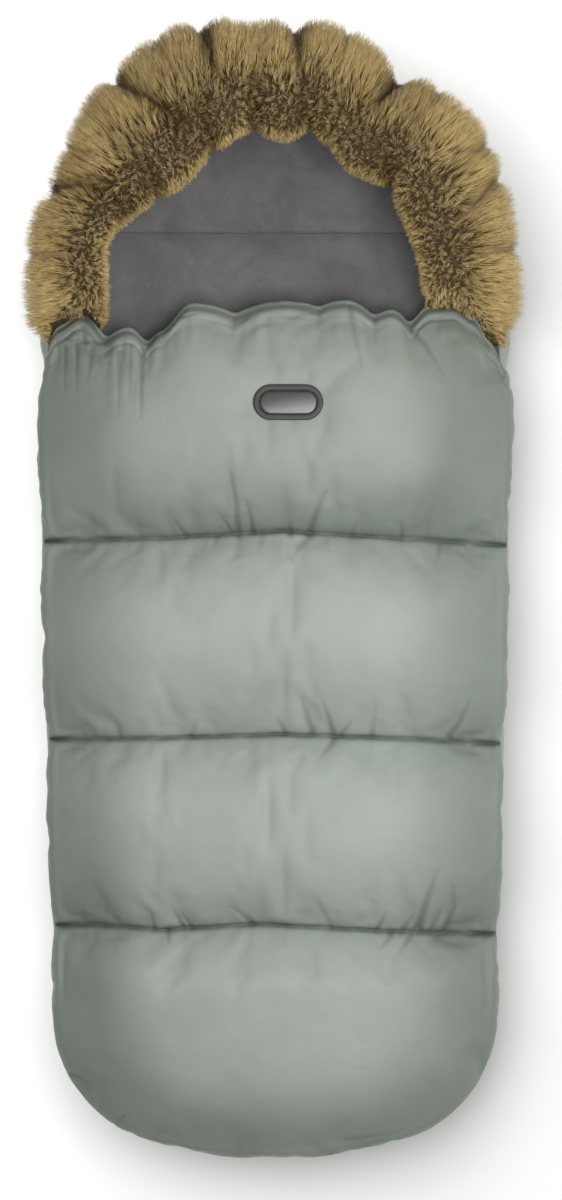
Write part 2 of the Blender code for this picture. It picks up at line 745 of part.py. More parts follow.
def slider_body(name, side, empty, finish):
    """Two plates joined by a thin post between the coils, lips under the back's coil, and a bridge
    for the pull on the outer plate. Drawn as a section across the zip and run along it."""
    inner = coil_width / 2 + plate_clearance
    outer = inner + plate_thickness
    lip = tape_thickness / 2 + gap
    low, high = -slider_below, slider_above
    post = post_thickness / 2
    right = [(lip, low), (outer, low), (outer, high), (inner, high), (inner, post)]
    left = [(-inner, post), (-inner, high), (-outer, high), (-outer, low), (-lip, low)]
    lower = [(-lip, low + slider_lip), (-inner, low + slider_lip), (-inner, -post),
             (inner, -post), (inner, low + slider_lip), (lip, low + slider_lip)]
    body = outline_curve(name, [right + left + lower], slider_length)
    body.transform(Matrix.Rotation(math.pi / 2, 4, "X"))
    made = add_object(name, body, finish)
    start = outer - plate_thickness / 2
    reach = outer + bridge_window + bridge_bar
    arm = bridge_span / 2 + bridge_bar
    loops = [box_loop(start, -arm, reach, arm),
             box_loop(outer, -bridge_span / 2, outer + bridge_window, bridge_span / 2)]
    bridge = outline_curve("bridge", loops, bridge_height)
    if side < 0:
        bridge.transform(Matrix.Rotation(math.pi, 4, "Z"))
    union = bpy.data.objects.new(name + "_bridge", bridge)
    guides.objects.link(union)
    union.hide_render = True
    union.display_type = "WIRE"
    joined = made.modifiers.new("bridge", "BOOLEAN")
    joined.operation = "UNION"
    joined.object = union
    made.parent = empty
    union.parent = empty
    return made


def pull_tab(name, side, empty, finish):
    """A flat tab with an eye at its end; its end bar sits in the bridge's window."""
    half = pull_end_bar / 2
    low = -pull_length + half
    tip = pull_width / 2
    outline = [(half, -tip), (half, tip), (low + tip / 2, tip), (low, tip / 2), (low, -tip / 2),
               (low + tip / 2, -tip)]
    eye = box_loop(-half - pull_eye_length, -pull_eye_width / 2, -half, pull_eye_width / 2)
    mesh = outline_curve(name, [outline, eye], pull_thickness)
    mesh.transform(Matrix(((0, 0, 1, 0), (1, 0, 0, 0), (0, 1, 0, 0), (0, 0, 0, 1))))
    made = add_object(name, mesh, finish)
    made.parent = empty
    return made


def make_sliders(finish):
    """One slider and one pull on each side, on empties at their joints."""
    pivot_out = coil_width / 2 + plate_clearance + plate_thickness + bridge_window / 2
    for side, word in ((-1, "left"), (1, "right")):
        turn = -side * zip_lean()
        slide = empty_at("slide_" + word, (side * half_width(slider_y), slider_y, zip_middle_z),
                         turn)
        slider_body("slider_" + word, side, slide, finish["metal"])
        pivot = empty_at("pivot_" + word, (side * pivot_out, 0.0, 0.0))
        pivot.parent = slide
        pull_tab("pull_" + word, side, pivot, finish["metal"])


def build():
    start_scene()
    finish = {
        "sage": material("sage woven fabric", (0.33, 0.37, 0.32), 0.8),
        "wadding": material("white wadding", (0.85, 0.85, 0.83), 1.0),
        "fleece": material("grey fleece", (0.14, 0.14, 0.14), 1.0),
        "fur": material("brown pile", (0.17, 0.11, 0.045), 1.0),
        "tape": material("woven tape", (0.25, 0.28, 0.25), 0.9),
        "trim": material("bound edge", (0.25, 0.28, 0.25), 0.9),
        "coil": material("nylon coil", (0.12, 0.13, 0.12), 0.5),
        "elastic": material("white elastic", (0.8, 0.8, 0.8), 0.9),
        "metal": material("grey metal", (0.25, 0.25, 0.25), 0.35, 1.0),
        "rim": material("dark moulded rim", (0.03, 0.03, 0.03), 0.5),
    }
    hinge_y = foot_pole_y - foot_reach - cover_bulge - hinge_clearance
    cover_empty = empty_at("cover_hinge", (0.0, hinge_y, zip_middle_z))
    fold_z = cover_outside(("side", seam_ys[0]))[0][2]
    flap_empty = empty_at("flap_hinge", (0.0, seam_ys[0], fold_z))
    make_back(finish)
    make_slot_bindings(finish)
    hood_elastic(finish)
    fur_trim(finish)
    make_zips(finish, cover_empty, flap_empty)
    foot_hinge_strip(finish)
    make_cover(finish, cover_empty)
    make_flap(finish, flap_empty)
    make_badge(finish, flap_empty)
    make_sliders(finish)


build()
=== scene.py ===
import math

import bmesh
import bpy
import numpy as np
from mathutils import Matrix, Vector


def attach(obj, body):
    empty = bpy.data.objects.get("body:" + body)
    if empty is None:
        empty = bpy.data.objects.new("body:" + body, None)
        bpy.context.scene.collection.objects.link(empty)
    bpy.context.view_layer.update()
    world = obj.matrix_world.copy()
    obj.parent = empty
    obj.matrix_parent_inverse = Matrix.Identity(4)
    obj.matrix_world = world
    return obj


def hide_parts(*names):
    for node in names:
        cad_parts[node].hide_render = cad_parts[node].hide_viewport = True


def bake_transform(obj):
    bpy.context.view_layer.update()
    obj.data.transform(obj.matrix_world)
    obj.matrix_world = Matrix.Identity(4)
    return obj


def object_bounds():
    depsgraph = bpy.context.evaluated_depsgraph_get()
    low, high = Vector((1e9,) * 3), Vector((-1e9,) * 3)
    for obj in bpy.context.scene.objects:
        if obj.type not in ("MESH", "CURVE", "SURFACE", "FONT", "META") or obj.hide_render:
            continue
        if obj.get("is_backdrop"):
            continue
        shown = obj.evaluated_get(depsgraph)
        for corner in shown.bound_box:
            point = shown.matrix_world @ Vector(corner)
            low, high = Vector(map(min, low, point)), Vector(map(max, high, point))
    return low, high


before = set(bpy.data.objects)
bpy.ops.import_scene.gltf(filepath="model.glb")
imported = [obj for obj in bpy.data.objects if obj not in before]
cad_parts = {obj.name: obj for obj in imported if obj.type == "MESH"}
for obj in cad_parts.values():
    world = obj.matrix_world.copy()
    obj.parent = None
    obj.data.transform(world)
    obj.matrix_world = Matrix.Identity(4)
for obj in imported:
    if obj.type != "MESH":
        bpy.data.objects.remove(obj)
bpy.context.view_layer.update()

# Camera: hung 3 m above the middle of the footmuff and looking straight down, like the
# photograph. The 98 mm lens takes in 1.10 m along the picture's long side.
bpy.ops.object.camera_add(location=(0.0055, -0.006, 3.08), rotation=(0.0, 0.0, 0.0))
camera = bpy.context.object
camera.name = "camera_above"
camera.data.lens = 98.0
camera.data.clip_end = 30.0
bpy.context.scene.camera = camera


# Back quilt: the part that lies on the floor, with its padded sides and the hood. A sack of
# woven polyester filled with fibre, cut to a long tray shape, blown up by its filling and sewn
# to the zip tape along its rim. The harness slots are cut through it.
foot_y, head_y = -0.360, 0.336
foot_reach, head_reach = 0.1495, 0.166
hood_start, hood_full = 0.229, 0.289
rim_z, hood_z, floor_z = 0.041, 0.085, 0.036
fleece_thick, gap = 0.0020, 0.0003


def half_width(y):
    return 0.1925 + (y - foot_y) / 0.585 * 0.016


def plan(s, v, scale=1.0, out=0.0):
    """Plan place of s, -1 to 1 across, and v metres along. Past a pole the rows bend round the
    end of the body. Also gives the share of the half width, which is 1 on the zip line."""
    past = np.maximum((foot_y - v) / foot_reach, (v - head_y) / head_reach)
    t = np.clip(past, 0.0, 1.0)
    across, along = s * np.sqrt(1 - t * t / 2), t * np.sqrt(1 - s * s / 2)
    share = scale * np.hypot(across, along)
    angle = np.arctan2(along, np.abs(across))
    power = np.where(v < 0, 2.5, 2.2)
    round_off = (np.cos(angle) ** power + np.sin(angle) ** power) ** (-1 / power)
    pole = np.clip(v, foot_y, head_y)
    reach = np.where(v < 0, -foot_reach, head_reach)
    x = np.sign(s) * (share * half_width(pole) + out) * round_off * np.cos(angle)
    y = pole + (share * reach + np.sign(reach) * out) * round_off * np.sin(angle)
    return x, y, share


def smooth_step(value):
    value = np.clip(value, 0.0, 1.0)
    return value * value * (3 - 2 * value)


def bell(away, wide):
    """1 where away is 0, falling off on both sides of it over a width."""
    return np.exp(-(away / wide) ** 2)


def spaced(stops, counts, bunch=0.06):
    """Row places between stops, closer together beside each stop, where the seams are."""
    rows = [stops[0]]
    for low, high, count in zip(stops, stops[1:], counts):
        for step in range(1, count + 1):
            share = step / count
            rows.append(low + (high - low) * (share - bunch * math.sin(2 * math.pi * share)))
    return np.array(rows)


def border(rows, columns):
    """Row and column of each point round the edge of a grid, anticlockwise from the first row."""
    first = [(0, j) for j in range(columns)]
    right = [(i, columns) for i in range(rows)]
    last = [(rows, j) for j in range(columns, 0, -1)]
    left = [(i, 0) for i in range(rows, 0, -1)]
    return np.array(first + right + last + left)


def new_piece(name, verts, faces, closed=True):
    """An object from points and faces. A closed one has its faces turned outwards."""
    mesh = bpy.data.meshes.new(name)
    mesh.from_pydata(verts, [], faces)
    if closed:
        mesh.validate()
        bm = bmesh.new()
        bm.from_mesh(mesh)
        bmesh.ops.recalc_face_normals(bm, faces=bm.faces)
        bm.to_mesh(mesh)
        bm.free()
    piece = bpy.data.objects.new(name, mesh)
    bpy.context.scene.collection.objects.link(piece)
    return piece


def put_marks(piece, **marks):
    """Keeps values on a piece's points, for shaping and for materials."""
    for label, values in marks.items():
        mark = piece.data.attributes.new(label, "FLOAT", "POINT")
        mark.data.foreach_set("value", np.asarray(values, np.float32))


def grid_of(rows, columns):
    """The numbers of a grid's points, and its faces."""
    grid = np.arange(rows * columns).reshape(rows, columns)
    corners = (grid[:-1, :-1], grid[:-1, 1:], grid[1:, 1:], grid[1:, :-1])
    return grid, np.stack(corners, -1).reshape(-1, 4)


def closed_body(name, upper, rings, lower):
    """A closed piece of an upper grid, rings of points down its side and a lower grid."""
    edge = border(upper.shape[0] - 1, upper.shape[1] - 1)
    grid, quads = grid_of(*upper.shape[:2])
    verts = np.vstack([upper.reshape(-1, 3)] + rings + [lower.reshape(-1, 3)])
    low_start = grid.size + len(rings) * len(edge)
    faces = [quads, quads[:, ::-1] + low_start]
    loops = [grid[edge[:, 0], edge[:, 1]]]
    loops += [grid.size + k * len(edge) + np.arange(len(edge)) for k in range(len(rings))]
    loops.append(loops[0] + low_start)
    for above, below in zip(loops, loops[1:]):
        faces.append(np.stack([above, below, np.roll(below, -1), np.roll(above, -1)], -1))
    return new_piece(name, verts.tolist(), np.vstack(faces).tolist())


def select_only(piece):
    bpy.ops.object.select_all(action="DESELECT")
    piece.select_set(True)
    bpy.context.view_layer.objects.active = piece


def apply(piece, modifier):
    select_only(piece)
    bpy.ops.object.modifier_apply(modifier=modifier.name)


def points_of(piece):
    values = np.zeros(len(piece.data.vertices) * 3)
    piece.data.vertices.foreach_get("co", values)
    return values.reshape(-1, 3)


def put_points(piece, points):
    piece.data.vertices.foreach_set("co", np.asarray(points, np.float32).ravel())
    piece.data.update()


def mark_of(piece, label):
    values = np.zeros(len(piece.data.vertices))
    piece.data.attributes[label].data.foreach_get("value", values)
    return values


def blow_up(piece, held, most, pressure, spare=-0.03, frames=20):
    """The filling pushes the fabric out between its seams. held is 1 where it is sewn down, most
    caps how far a point moves, and spare is how much the cut is larger than its seams allow."""
    rest = points_of(piece)
    group = piece.vertex_groups.new(name="sewn")
    for level in np.unique(np.round(held, 2)):
        chosen = np.nonzero(np.round(held, 2) == level)[0].tolist()
        if level > 0:
            group.add(chosen, float(level), "REPLACE")
    cloth = piece.modifiers.new("filling", "CLOTH")
    cloth.settings.quality = 6
    cloth.settings.mass = 0.15
    cloth.settings.tension_stiffness = 18
    cloth.settings.compression_stiffness = 10
    cloth.settings.shear_stiffness = 6
    cloth.settings.bending_stiffness = 0.15
    cloth.settings.air_damping = 2
    cloth.settings.use_pressure = True
    cloth.settings.uniform_pressure_force = pressure
    cloth.settings.shrink_min = spare
    cloth.settings.vertex_group_mass = "sewn"
    cloth.settings.effector_weights.gravity = 0.0
    cloth.collision_settings.use_collision = False
    cloth.point_cache.frame_start = 1
    cloth.point_cache.frame_end = frames
    for number in range(1, frames + 1):
        bpy.context.scene.frame_set(number)
    apply(piece, cloth)
    moved = points_of(piece) - rest
    length = np.maximum(np.linalg.norm(moved, axis=1), 1e-9)
    share = most * np.tanh(length / most) / length
    put_points(piece, rest + moved * share[:, None])


def subdivide(piece, levels):
    smooth = piece.modifiers.new("smooth", "SUBSURF")
    smooth.levels = smooth.render_levels = levels
    apply(piece, smooth)


def hood_share(v):
    return smooth_step((v - hood_start) / (hood_full - hood_start))


def tray_reach(v):
    """Share of the plan that the pocket's tray takes, which is less in the hood, under the fur."""
    return 1 - 0.15 * hood_share(v)


def back_rim(v):
    return rim_z + (hood_z - rim_z) * hood_share(v)


def back_inside(share, v):
    """Height of the pocket's floor and of the wall up to the rim, by share of the half width."""
    tray = np.interp(share, (0, 0.80, 0.90, 0.94, 0.965, 0.98, 1), (0, 0, 0.2, 0.4, 0.6, 0.8, 1))
    hood = np.interp(share, (0, 0.42, 0.66, 0.76, 0.805, 0.825, 0.838, 0.85, 1),
                     (0, 0, 0.02, 0.12, 0.33, 0.57, 0.80, 1, 1))
    rise = tray + (hood - tray) * hood_share(v)
    return floor_z + (back_rim(v) - floor_z) * rise


back_rows = spaced((foot_y - foot_reach, foot_y, hood_start, hood_full, head_y,
                    head_y + head_reach), (20, 70, 10, 7, 22), 0.0)
back_columns = np.sin(np.linspace(-1, 1, 55) * 1.15) / math.sin(1.15)
S, V = np.meshgrid(back_columns, back_rows)
x, y, share = plan(S, V, tray_reach(V))
drop = fleece_thick + gap
sunk = 0.006 * bell(V - head_y, 0.012)
behind = share * (1 - 0.014 * hood_share(V))
upper = np.stack([x, y, back_inside(behind, V) - drop - sunk], -1)
x, y, share = plan(S, V, 0.955 - 0.03 * hood_share(V))
lower = np.stack([x, y, 0.0004 + 0 * x], -1)
edge = border(len(back_rows) - 1, len(back_columns) - 1)
edge_s, edge_v = S[edge[:, 0], edge[:, 1]], V[edge[:, 0], edge[:, 1]]
hood = hood_share(edge_v)
rim = back_rim(edge_v)
tray_side = ((1.0, 0.0015, 1.0), (1.0, 0.0072, 0.93), (1.0, 0.0110, 0.80), (1.0, 0.0138, 0.66),
             (1.0, 0.0145, 0.50), (1.0, 0.0130, 0.34), (1.0, 0.0088, 0.19), (1.0, 0.0020, 0.08),
             (0.977, 0.0, 0.025))
hood_side = ((0.86, 0.0032, 1.0), (0.90, 0.0015, 0.96), (0.95, -0.003, 0.88), (0.99, -0.0060, 0.76),
             (1.0, -0.0045, 0.60), (1.0, -0.0030, 0.44), (1.0, -0.0045, 0.27), (0.975, 0.0, 0.12),
             (0.95, 0.0, 0.03))
neck = 1 - 0.55 * bell(edge_v - 0.195, 0.045)
# the trim's deepest gather draws the hood's wall in beside it
gather = 0.008 * bell(plan(edge_s, edge_v)[0] - 0.114, 0.013) * (edge_v > head_y)
rings = []
for tray, over in zip(tray_side, hood_side):
    scale, out, up = [a + (b - a) * hood for a, b in zip(tray, over)]
    x, y, share = plan(edge_s, edge_v, scale, out * neck - gather * (scale - 0.86) / 0.14)
    rings.append(np.stack([x, y, np.maximum(up * rim, 0.0006)], -1))


def layers(upper, rings, edge):
    """How far down its closed body each point is: 0 on the upper grid, 1 on the lower."""
    down = np.repeat(np.linspace(0.1, 0.9, len(rings)), len(edge))
    return np.concatenate([np.zeros(upper[..., 0].size), down, np.ones(upper[..., 0].size)])


back_quilt = closed_body("back_quilt", upper, rings, lower)
side = layers(upper, rings, edge)
held = np.where((side > 0.12) & (side < 0.85), 0.0, 1.0)
blow_up(back_quilt, held, 0.005, 3.0)
subdivide(back_quilt, 1)
points = points_of(back_quilt)
points[:, 2] = np.maximum(points[:, 2], 0.0002)
put_points(back_quilt, points)
back_quilt.data.shade_smooth()
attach(back_quilt, "back")
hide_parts("back_outer_fabric", "back_wadding")


def colour(text):
    """An sRGB hex colour as linear red, green, blue and alpha."""
    parts = [int(text[i:i + 2], 16) / 255 for i in (1, 3, 5)]
    line = [c / 12.92 if c <= 0.04045 else ((c + 0.055) / 1.055) ** 2.4 for c in parts]
    return (*line, 1.0)


def new_material(name, base, rough, **more):
    """A material with its shader's own sockets set, and the node tree to build its pattern in."""
    made = bpy.data.materials.new(name)
    made.use_nodes = True
    shader = made.node_tree.nodes["Principled BSDF"]
    shader.inputs["Base Color"].default_value = colour(base)
    shader.inputs["Roughness"].default_value = rough
    for label, value in more.items():
        shader.inputs[label.replace("_", " ")].default_value = value
    return made, shader


def add(made, kind, inputs=None, **settings):
    """Adds one node with its settings. Each input is a value, or the socket it is linked to."""
    node = made.node_tree.nodes.new("ShaderNode" + kind)
    for label, value in settings.items():
        setattr(node, label, value)
    for label, value in (inputs or {}).items():
        if isinstance(value, bpy.types.NodeSocket):
            made.node_tree.links.new(value, node.inputs[label])
        else:
            node.inputs[label].default_value = value
    return node


def feed(shader, **sockets):
    """Links node outputs to the shader's own sockets."""
    for label, socket in sockets.items():
        shader.id_data.links.new(socket, shader.inputs[label.replace("_", " ")])


def shell_fabric(name, base, light, dark):
    """Woven polyester with a calendered face: a soft satin sheen, a fine plain weave, small
    creases from the filling and a faint change of tone over each puff. Painted shade darkens it
    toward its sides, more on the left and toward the foot, over the flap, and in the grooves of
    its stitched seams and folds."""
    made, shader = new_material(name, base, 0.56, Sheen_Weight=0.12, Sheen_Roughness=0.5,
                                Specular_IOR_Level=0.42)
    place = add(made, "TexCoord").outputs["Object"]
    tone = add(made, "TexNoise", {"Vector": place, "Scale": 9.0, "Detail": 3.0, "Roughness": 0.55})
    shade = add(made, "MapRange", {"Value": tone.outputs["Fac"], "From Min": 0.32,
                                   "From Max": 0.68})
    mixed = add(made, "Mix", {0: shade.outputs[0], 6: colour(dark), 7: colour(light)},
                data_type="RGBA")
    # threads every 0.5 mm, coarser than the real 0.25 mm so that they show close up
    warp = add(made, "TexWave", {"Vector": place, "Scale": 630.0}, bands_direction="X")
    weft = add(made, "TexWave", {"Vector": place, "Scale": 630.0}, bands_direction="Y")
    weave = add(made, "Math", {0: warp.outputs["Fac"], 1: weft.outputs["Fac"]},
                operation="MULTIPLY")
    thread = add(made, "Mix", {0: weave.outputs[0], 6: (0.955, 0.955, 0.955, 1), 7: (1, 1, 1, 1)},
                 data_type="RGBA")
    woven = add(made, "Mix", {0: 1.0, 6: mixed.outputs[2], 7: thread.outputs[2]},
                data_type="RGBA", blend_type="MULTIPLY")
    # painted shade: this mark darkens the cloth toward its sides, more on the left and toward the
    # foot, and over the flap
    slack = add(made, "Attribute", attribute_name="slack").outputs["Fac"]
    deep = add(made, "Mix", {0: slack, 6: (1, 1, 1, 1), 7: (0.60, 0.62, 0.60, 1)}, data_type="RGBA")
    cloth_with_shade = add(made, "Mix", {0: 1.0, 6: woven.outputs[2], 7: deep.outputs[2]},
               data_type="RGBA", blend_type="MULTIPLY")
    # painted shade: this mark darkens the cloth in the grooves of the stitched seams and folds
    tuck = add(made, "Attribute", attribute_name="tuck").outputs["Fac"]
    tucked = add(made, "Mix", {0: tuck, 6: (1, 1, 1, 1), 7: (0.22, 0.25, 0.23, 1)},
                 data_type="RGBA")
    final = add(made, "Mix", {0: 1.0, 6: cloth_with_shade.outputs[2], 7: tucked.outputs[2]},
                data_type="RGBA", blend_type="MULTIPLY")
    crease = add(made, "TexNoise", {"Vector": place, "Scale": 46.0, "Detail": 4.0, "Roughness": 0.5,
                                    "Distortion": 0.3})
    fold = add(made, "Bump", {"Height": crease.outputs["Fac"], "Strength": 0.5, "Distance": 0.0022})
    cloth = add(made, "Bump", {"Height": weave.outputs[0], "Normal": fold.outputs[0],
                               "Strength": 0.35, "Distance": 0.00010})
    rub = add(made, "MapRange", {"Value": crease.outputs["Fac"], "To Min": 0.50, "To Max": 0.62})
    feed(shader, Base_Color=final.outputs[2], Normal=cloth.outputs[0], Roughness=rub.outputs[0])
    return made


def finish(piece, made):
    piece.data.materials.clear()
    piece.data.materials.append(made)


sage_fabric = shell_fabric("sage_woven_polyester", "#98a097", "#9da59c", "#929a91")
finish(back_quilt, sage_fabric)


# Fleece of the pocket: the floor from the foot to a cross seam in the hood, and the head piece
# beyond it, which lies a little fuller. Short-pile polyester fleece, sewn in round its rim.
def layer_of(name, x, y, z):
    """A single layer of faces through a grid of places."""
    verts = np.stack([x, y, z], -1).reshape(-1, 3)
    return new_piece(name, verts.tolist(), grid_of(*x.shape)[1].tolist(), closed=False)


def lining_sheet(name, columns, rows, height, warp=None, inset=0.0):
    """A single layer on the body's plan at a given height, which thicken makes a fabric."""
    S, V = np.meshgrid(columns, rows)
    scale, heights = height(S, V)
    x, y, share = plan(S, V, scale, -inset)
    if warp is not None:
        y = y + warp(x, V)
    return layer_of(name, x, y, heights(share, x, y, V))


def thicken(piece, thickness, side):
    """Gives a sheet its thickness. side 1 adds it on the sheet's upper face, -1 under it."""
    wall = piece.modifiers.new("thickness", "SOLIDIFY")
    wall.thickness = thickness
    wall.offset = side
    apply(piece, wall)
    piece.data.shade_smooth()


def back_floor(S, V):
    def heights(share, x, y, v):
        soft = 0.0012 * np.sin(x * 38 + 3 * np.sin(y * 21)) * np.sin(y * 33 + x * 9)
        seam = 0.0030 * bell(y - head_y, 0.005)
        pillow = 0.006 * bell(x - 0.012, 0.085) * bell(y - 0.386, 0.032)
        inner = smooth_step((0.80 - share) / 0.2)
        soft = soft * (1 - near_slot(x, y))
        seam = seam * smooth_step((0.84 - share) / 0.05)
        return back_inside(share, v) + (soft + pillow) * inner - seam
    return tray_reach(V), heights


slots = ((-0.078, 0.165, 0.070), (0.078, 0.165, 0.070), (-0.078, 0.085, 0.070),
         (0.078, 0.085, 0.070), (0.0, -0.115, 0.060))
slot_wide = 0.016


def near_slot(x, y):
    """1 beside a harness slot, where the layers are sewn together and lie flat."""
    near = np.zeros_like(x)
    for slot_x, slot_y, long in slots:
        away = np.hypot(np.maximum(np.abs(x - slot_x) - long / 2, 0),
                        np.maximum(np.abs(y - slot_y) - slot_wide / 2, 0))
        near = np.maximum(near, smooth_step((0.022 - away) / 0.014))
    return near


def cut_slots(piece):
    """Cuts the five harness slots through a piece."""
    for slot_x, slot_y, long in slots:
        bpy.ops.object.select_all(action="DESELECT")
        bpy.ops.mesh.primitive_cube_add(size=1, location=(slot_x, slot_y, 0.02))
        cutter = bpy.context.object
        cutter.scale = (long + 0.0006, slot_wide + 0.0006, 0.06)
        cut = piece.modifiers.new("slot", "BOOLEAN")
        cut.operation = "DIFFERENCE"
        cut.object = cutter
        apply(piece, cut)
        bpy.data.objects.remove(cutter)
    bpy.ops.object.shade_smooth_by_angle(angle=math.radians(50))


cut_slots(back_quilt)
lining_columns = np.sin(np.linspace(-1, 1, 73) * 1.2) / math.sin(1.2)
fleece_rows = spaced((foot_y - foot_reach, foot_y, 0.10, hood_start, hood_full, head_y - 0.0003),
                     (12, 30, 22, 12, 12), 0.0)
back_fleece = lining_sheet("back_fleece", lining_columns, fleece_rows, back_floor)
hood_rows = spaced((head_y + 0.0003, head_y + 0.02, head_y + head_reach), (6, 30), 0.0)
hood_fleece = lining_sheet("hood_fleece", lining_columns, hood_rows, back_floor)
for piece, node, flat, area in ((back_fleece, "back_lining", (0.44, 0.86), 0.330),
                                (hood_fleece, "hood_lining", (0.37, 0.17), 0.060)):
    thicken(piece, fleece_thick, -1)
    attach(piece, "back")
    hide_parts(node)

# short brushed pile: it takes the light softly, lies in patches and shows no weave
grey_fleece, shader = new_material("grey_polyester_fleece", "#666566", 0.95, Sheen_Weight=0.5,
                                   Sheen_Roughness=0.4, Specular_IOR_Level=0.15)
place = add(grey_fleece, "TexCoord").outputs["Object"]
patch = add(grey_fleece, "TexNoise", {"Vector": place, "Scale": 22.0, "Detail": 5.0,
                                      "Roughness": 0.65, "Distortion": 0.6})
pile = add(grey_fleece, "TexNoise", {"Vector": place, "Scale": 900.0, "Detail": 2.0})
tuft = add(grey_fleece, "TexVoronoi", {"Vector": place, "Scale": 420.0})
tone = add(grey_fleece, "MapRange", {"Value": patch.outputs["Fac"], "From Min": 0.3,
                                     "From Max": 0.7})
mixed = add(grey_fleece, "Mix", {0: tone.outputs[0], 6: colour("#605f60"), 7: colour("#747273")},
            data_type="RGBA")
speck = add(grey_fleece, "Mix", {0: pile.outputs["Fac"], 6: (0.80, 0.80, 0.80, 1),
                                 7: (1.12, 1.12, 1.12, 1)}, data_type="RGBA")
patchy = add(grey_fleece, "Mix", {0: 1.0, 6: mixed.outputs[2], 7: speck.outputs[2]},
           data_type="RGBA", blend_type="MULTIPLY")
high = add(grey_fleece, "Math", {0: pile.outputs["Fac"], 1: tuft.outputs["Distance"]},
           operation="ADD")
lying = add(grey_fleece, "Bump", {"Height": patch.outputs["Fac"], "Strength": 0.5,
                                  "Distance": 0.004})
bump = add(grey_fleece, "Bump", {"Height": high.outputs[0], "Normal": lying.outputs[0],
                                 "Strength": 0.6, "Distance": 0.0006})
feed(shader, Base_Color=patchy.outputs[2], Normal=bump.outputs[0])
cut_slots(back_fleece)
finish(back_fleece, grey_fleece)
finish(hood_fleece, grey_fleece)


# Cover and top flap: one quilt of three puffs below the first cross seam and one above it. The
# sage shell is sewn down at the cross seams, gathered there, and its top edge is a casing with
# elastic that draws it into scallops.
edge_z, crown_z, roof_z = 0.0555, 0.105, 0.0625
seam_ys = (0.051, -0.135, -0.309)
hem_y = 0.258
mm_per_pixel = 0.9186


def from_pixel(px, py):
    """Metres on the footmuff from a place in the photograph."""
    return (px - 275) * mm_per_pixel / 1000, (593.5 - py) * mm_per_pixel / 1000


def photo_places(places):
    """Metres for several places read off the photograph."""
    return np.array([from_pixel(px, py) for px, py in places])


# peaks and notches of the hem's scallops, and the three cross seams
hem_pixels = ((45, 352), (56, 330), (81, 316), (104, 342), (130, 331), (146, 350), (157, 336),
              (192, 307), (236, 316), (283, 305), (320, 309), (346, 304), (375, 319), (393, 313),
              (411, 329), (432, 308), (453, 307), (474, 321), (492, 347), (506, 372))
hem_notches = (104, 146, 236, 320, 375, 411)
seam_pixels = (((40, 541), (160, 538), (281, 531), (400, 538), (520, 546)),
               ((36, 740), (150, 739), (281, 735), (400, 739), (507, 745)),
               ((43, 927), (100, 926), (161, 931), (258, 925), (380, 932), (500, 936)))


def hem_line(x):
    """The hem's y at each x: round peaks between sharp notches."""
    stops = photo_places(hem_pixels)
    notch = [px in hem_notches for px, py in hem_pixels]
    place = np.clip(np.searchsorted(stops[:, 0], x) - 1, 0, len(stops) - 2)
    low, high = stops[place], stops[place + 1]
    share = np.clip((x - low[..., 0]) / (high[..., 0] - low[..., 0]), 0, 1)
    at_low, at_high = np.array(notch)[place], np.array(notch)[place + 1]
    curve = np.where(at_low, np.sin(share * np.pi / 2), smooth_step(share))
    curve = np.where(at_high & ~at_low, 1 - np.cos(share * np.pi / 2), curve)
    return low[..., 1] + (high[..., 1] - low[..., 1]) * curve


def seam_line(index, x):
    stops = photo_places(seam_pixels[index])
    return np.interp(x, stops[:, 0], stops[:, 1])


def to_photo(x, v):
    """How far a row moves along the body so that seams and hem run as the photograph shows."""
    hem_moved = hem_line(x) - hem_y
    lines = [(hem_y, hem_moved), (0.20, 0.25 * hem_moved * (np.abs(x) > 0.15))]
    lines += [(seam_ys[k], seam_line(k, x) - seam_ys[k]) for k in range(3)]
    lines += [(foot_y - 0.03, 0 * x), (foot_y - 1.0, 0 * x)]
    moved = 0 * x
    for (high, above), (low, below) in zip(lines, lines[1:]):
        share = (v - low) / (high - low)
        part = below + (above - below) * share
        moved = np.where((v <= high + 1e-9) & (v > low), part, moved)
    return moved


def fullness(v):
    """How full the quilt is at each row: 1 on a crown, less on a cross seam and at the hem."""
    pinch, roundness, hem_roundness = 0.27, 0.6, 0.38
    stops = (hem_y, *seam_ys)
    puff = np.ones_like(v)
    for high, low in zip(stops, stops[1:]):
        share = np.clip((v - low) / (high - low), 0, 1)
        power = np.where((high == hem_y) & (share > 0.5), hem_roundness, roundness)
        puff = np.where((v <= high) & (v > low), np.sin(np.pi * share) ** power, puff)
    toe = np.clip((seam_ys[2] - v) / (seam_ys[2] - foot_y), 0, 1)
    puff = np.where(v <= seam_ys[2], np.sin(np.pi / 2 * toe) ** roundness, puff)
    return pinch + (1 - pinch) * puff


def cover_top(share, v):
    return edge_z + (crown_z - edge_z) * fullness(v) * (1 - 0.45 * share ** 3)


def cover_roof(share):
    fall = np.interp(share, (0, 0.62, 0.80, 0.90, 0.94, 0.965, 1),
                     (0, 0, 0.04, 0.2, 0.35, 0.5, 0.85))
    return roof_z - fall * (roof_z - edge_z)


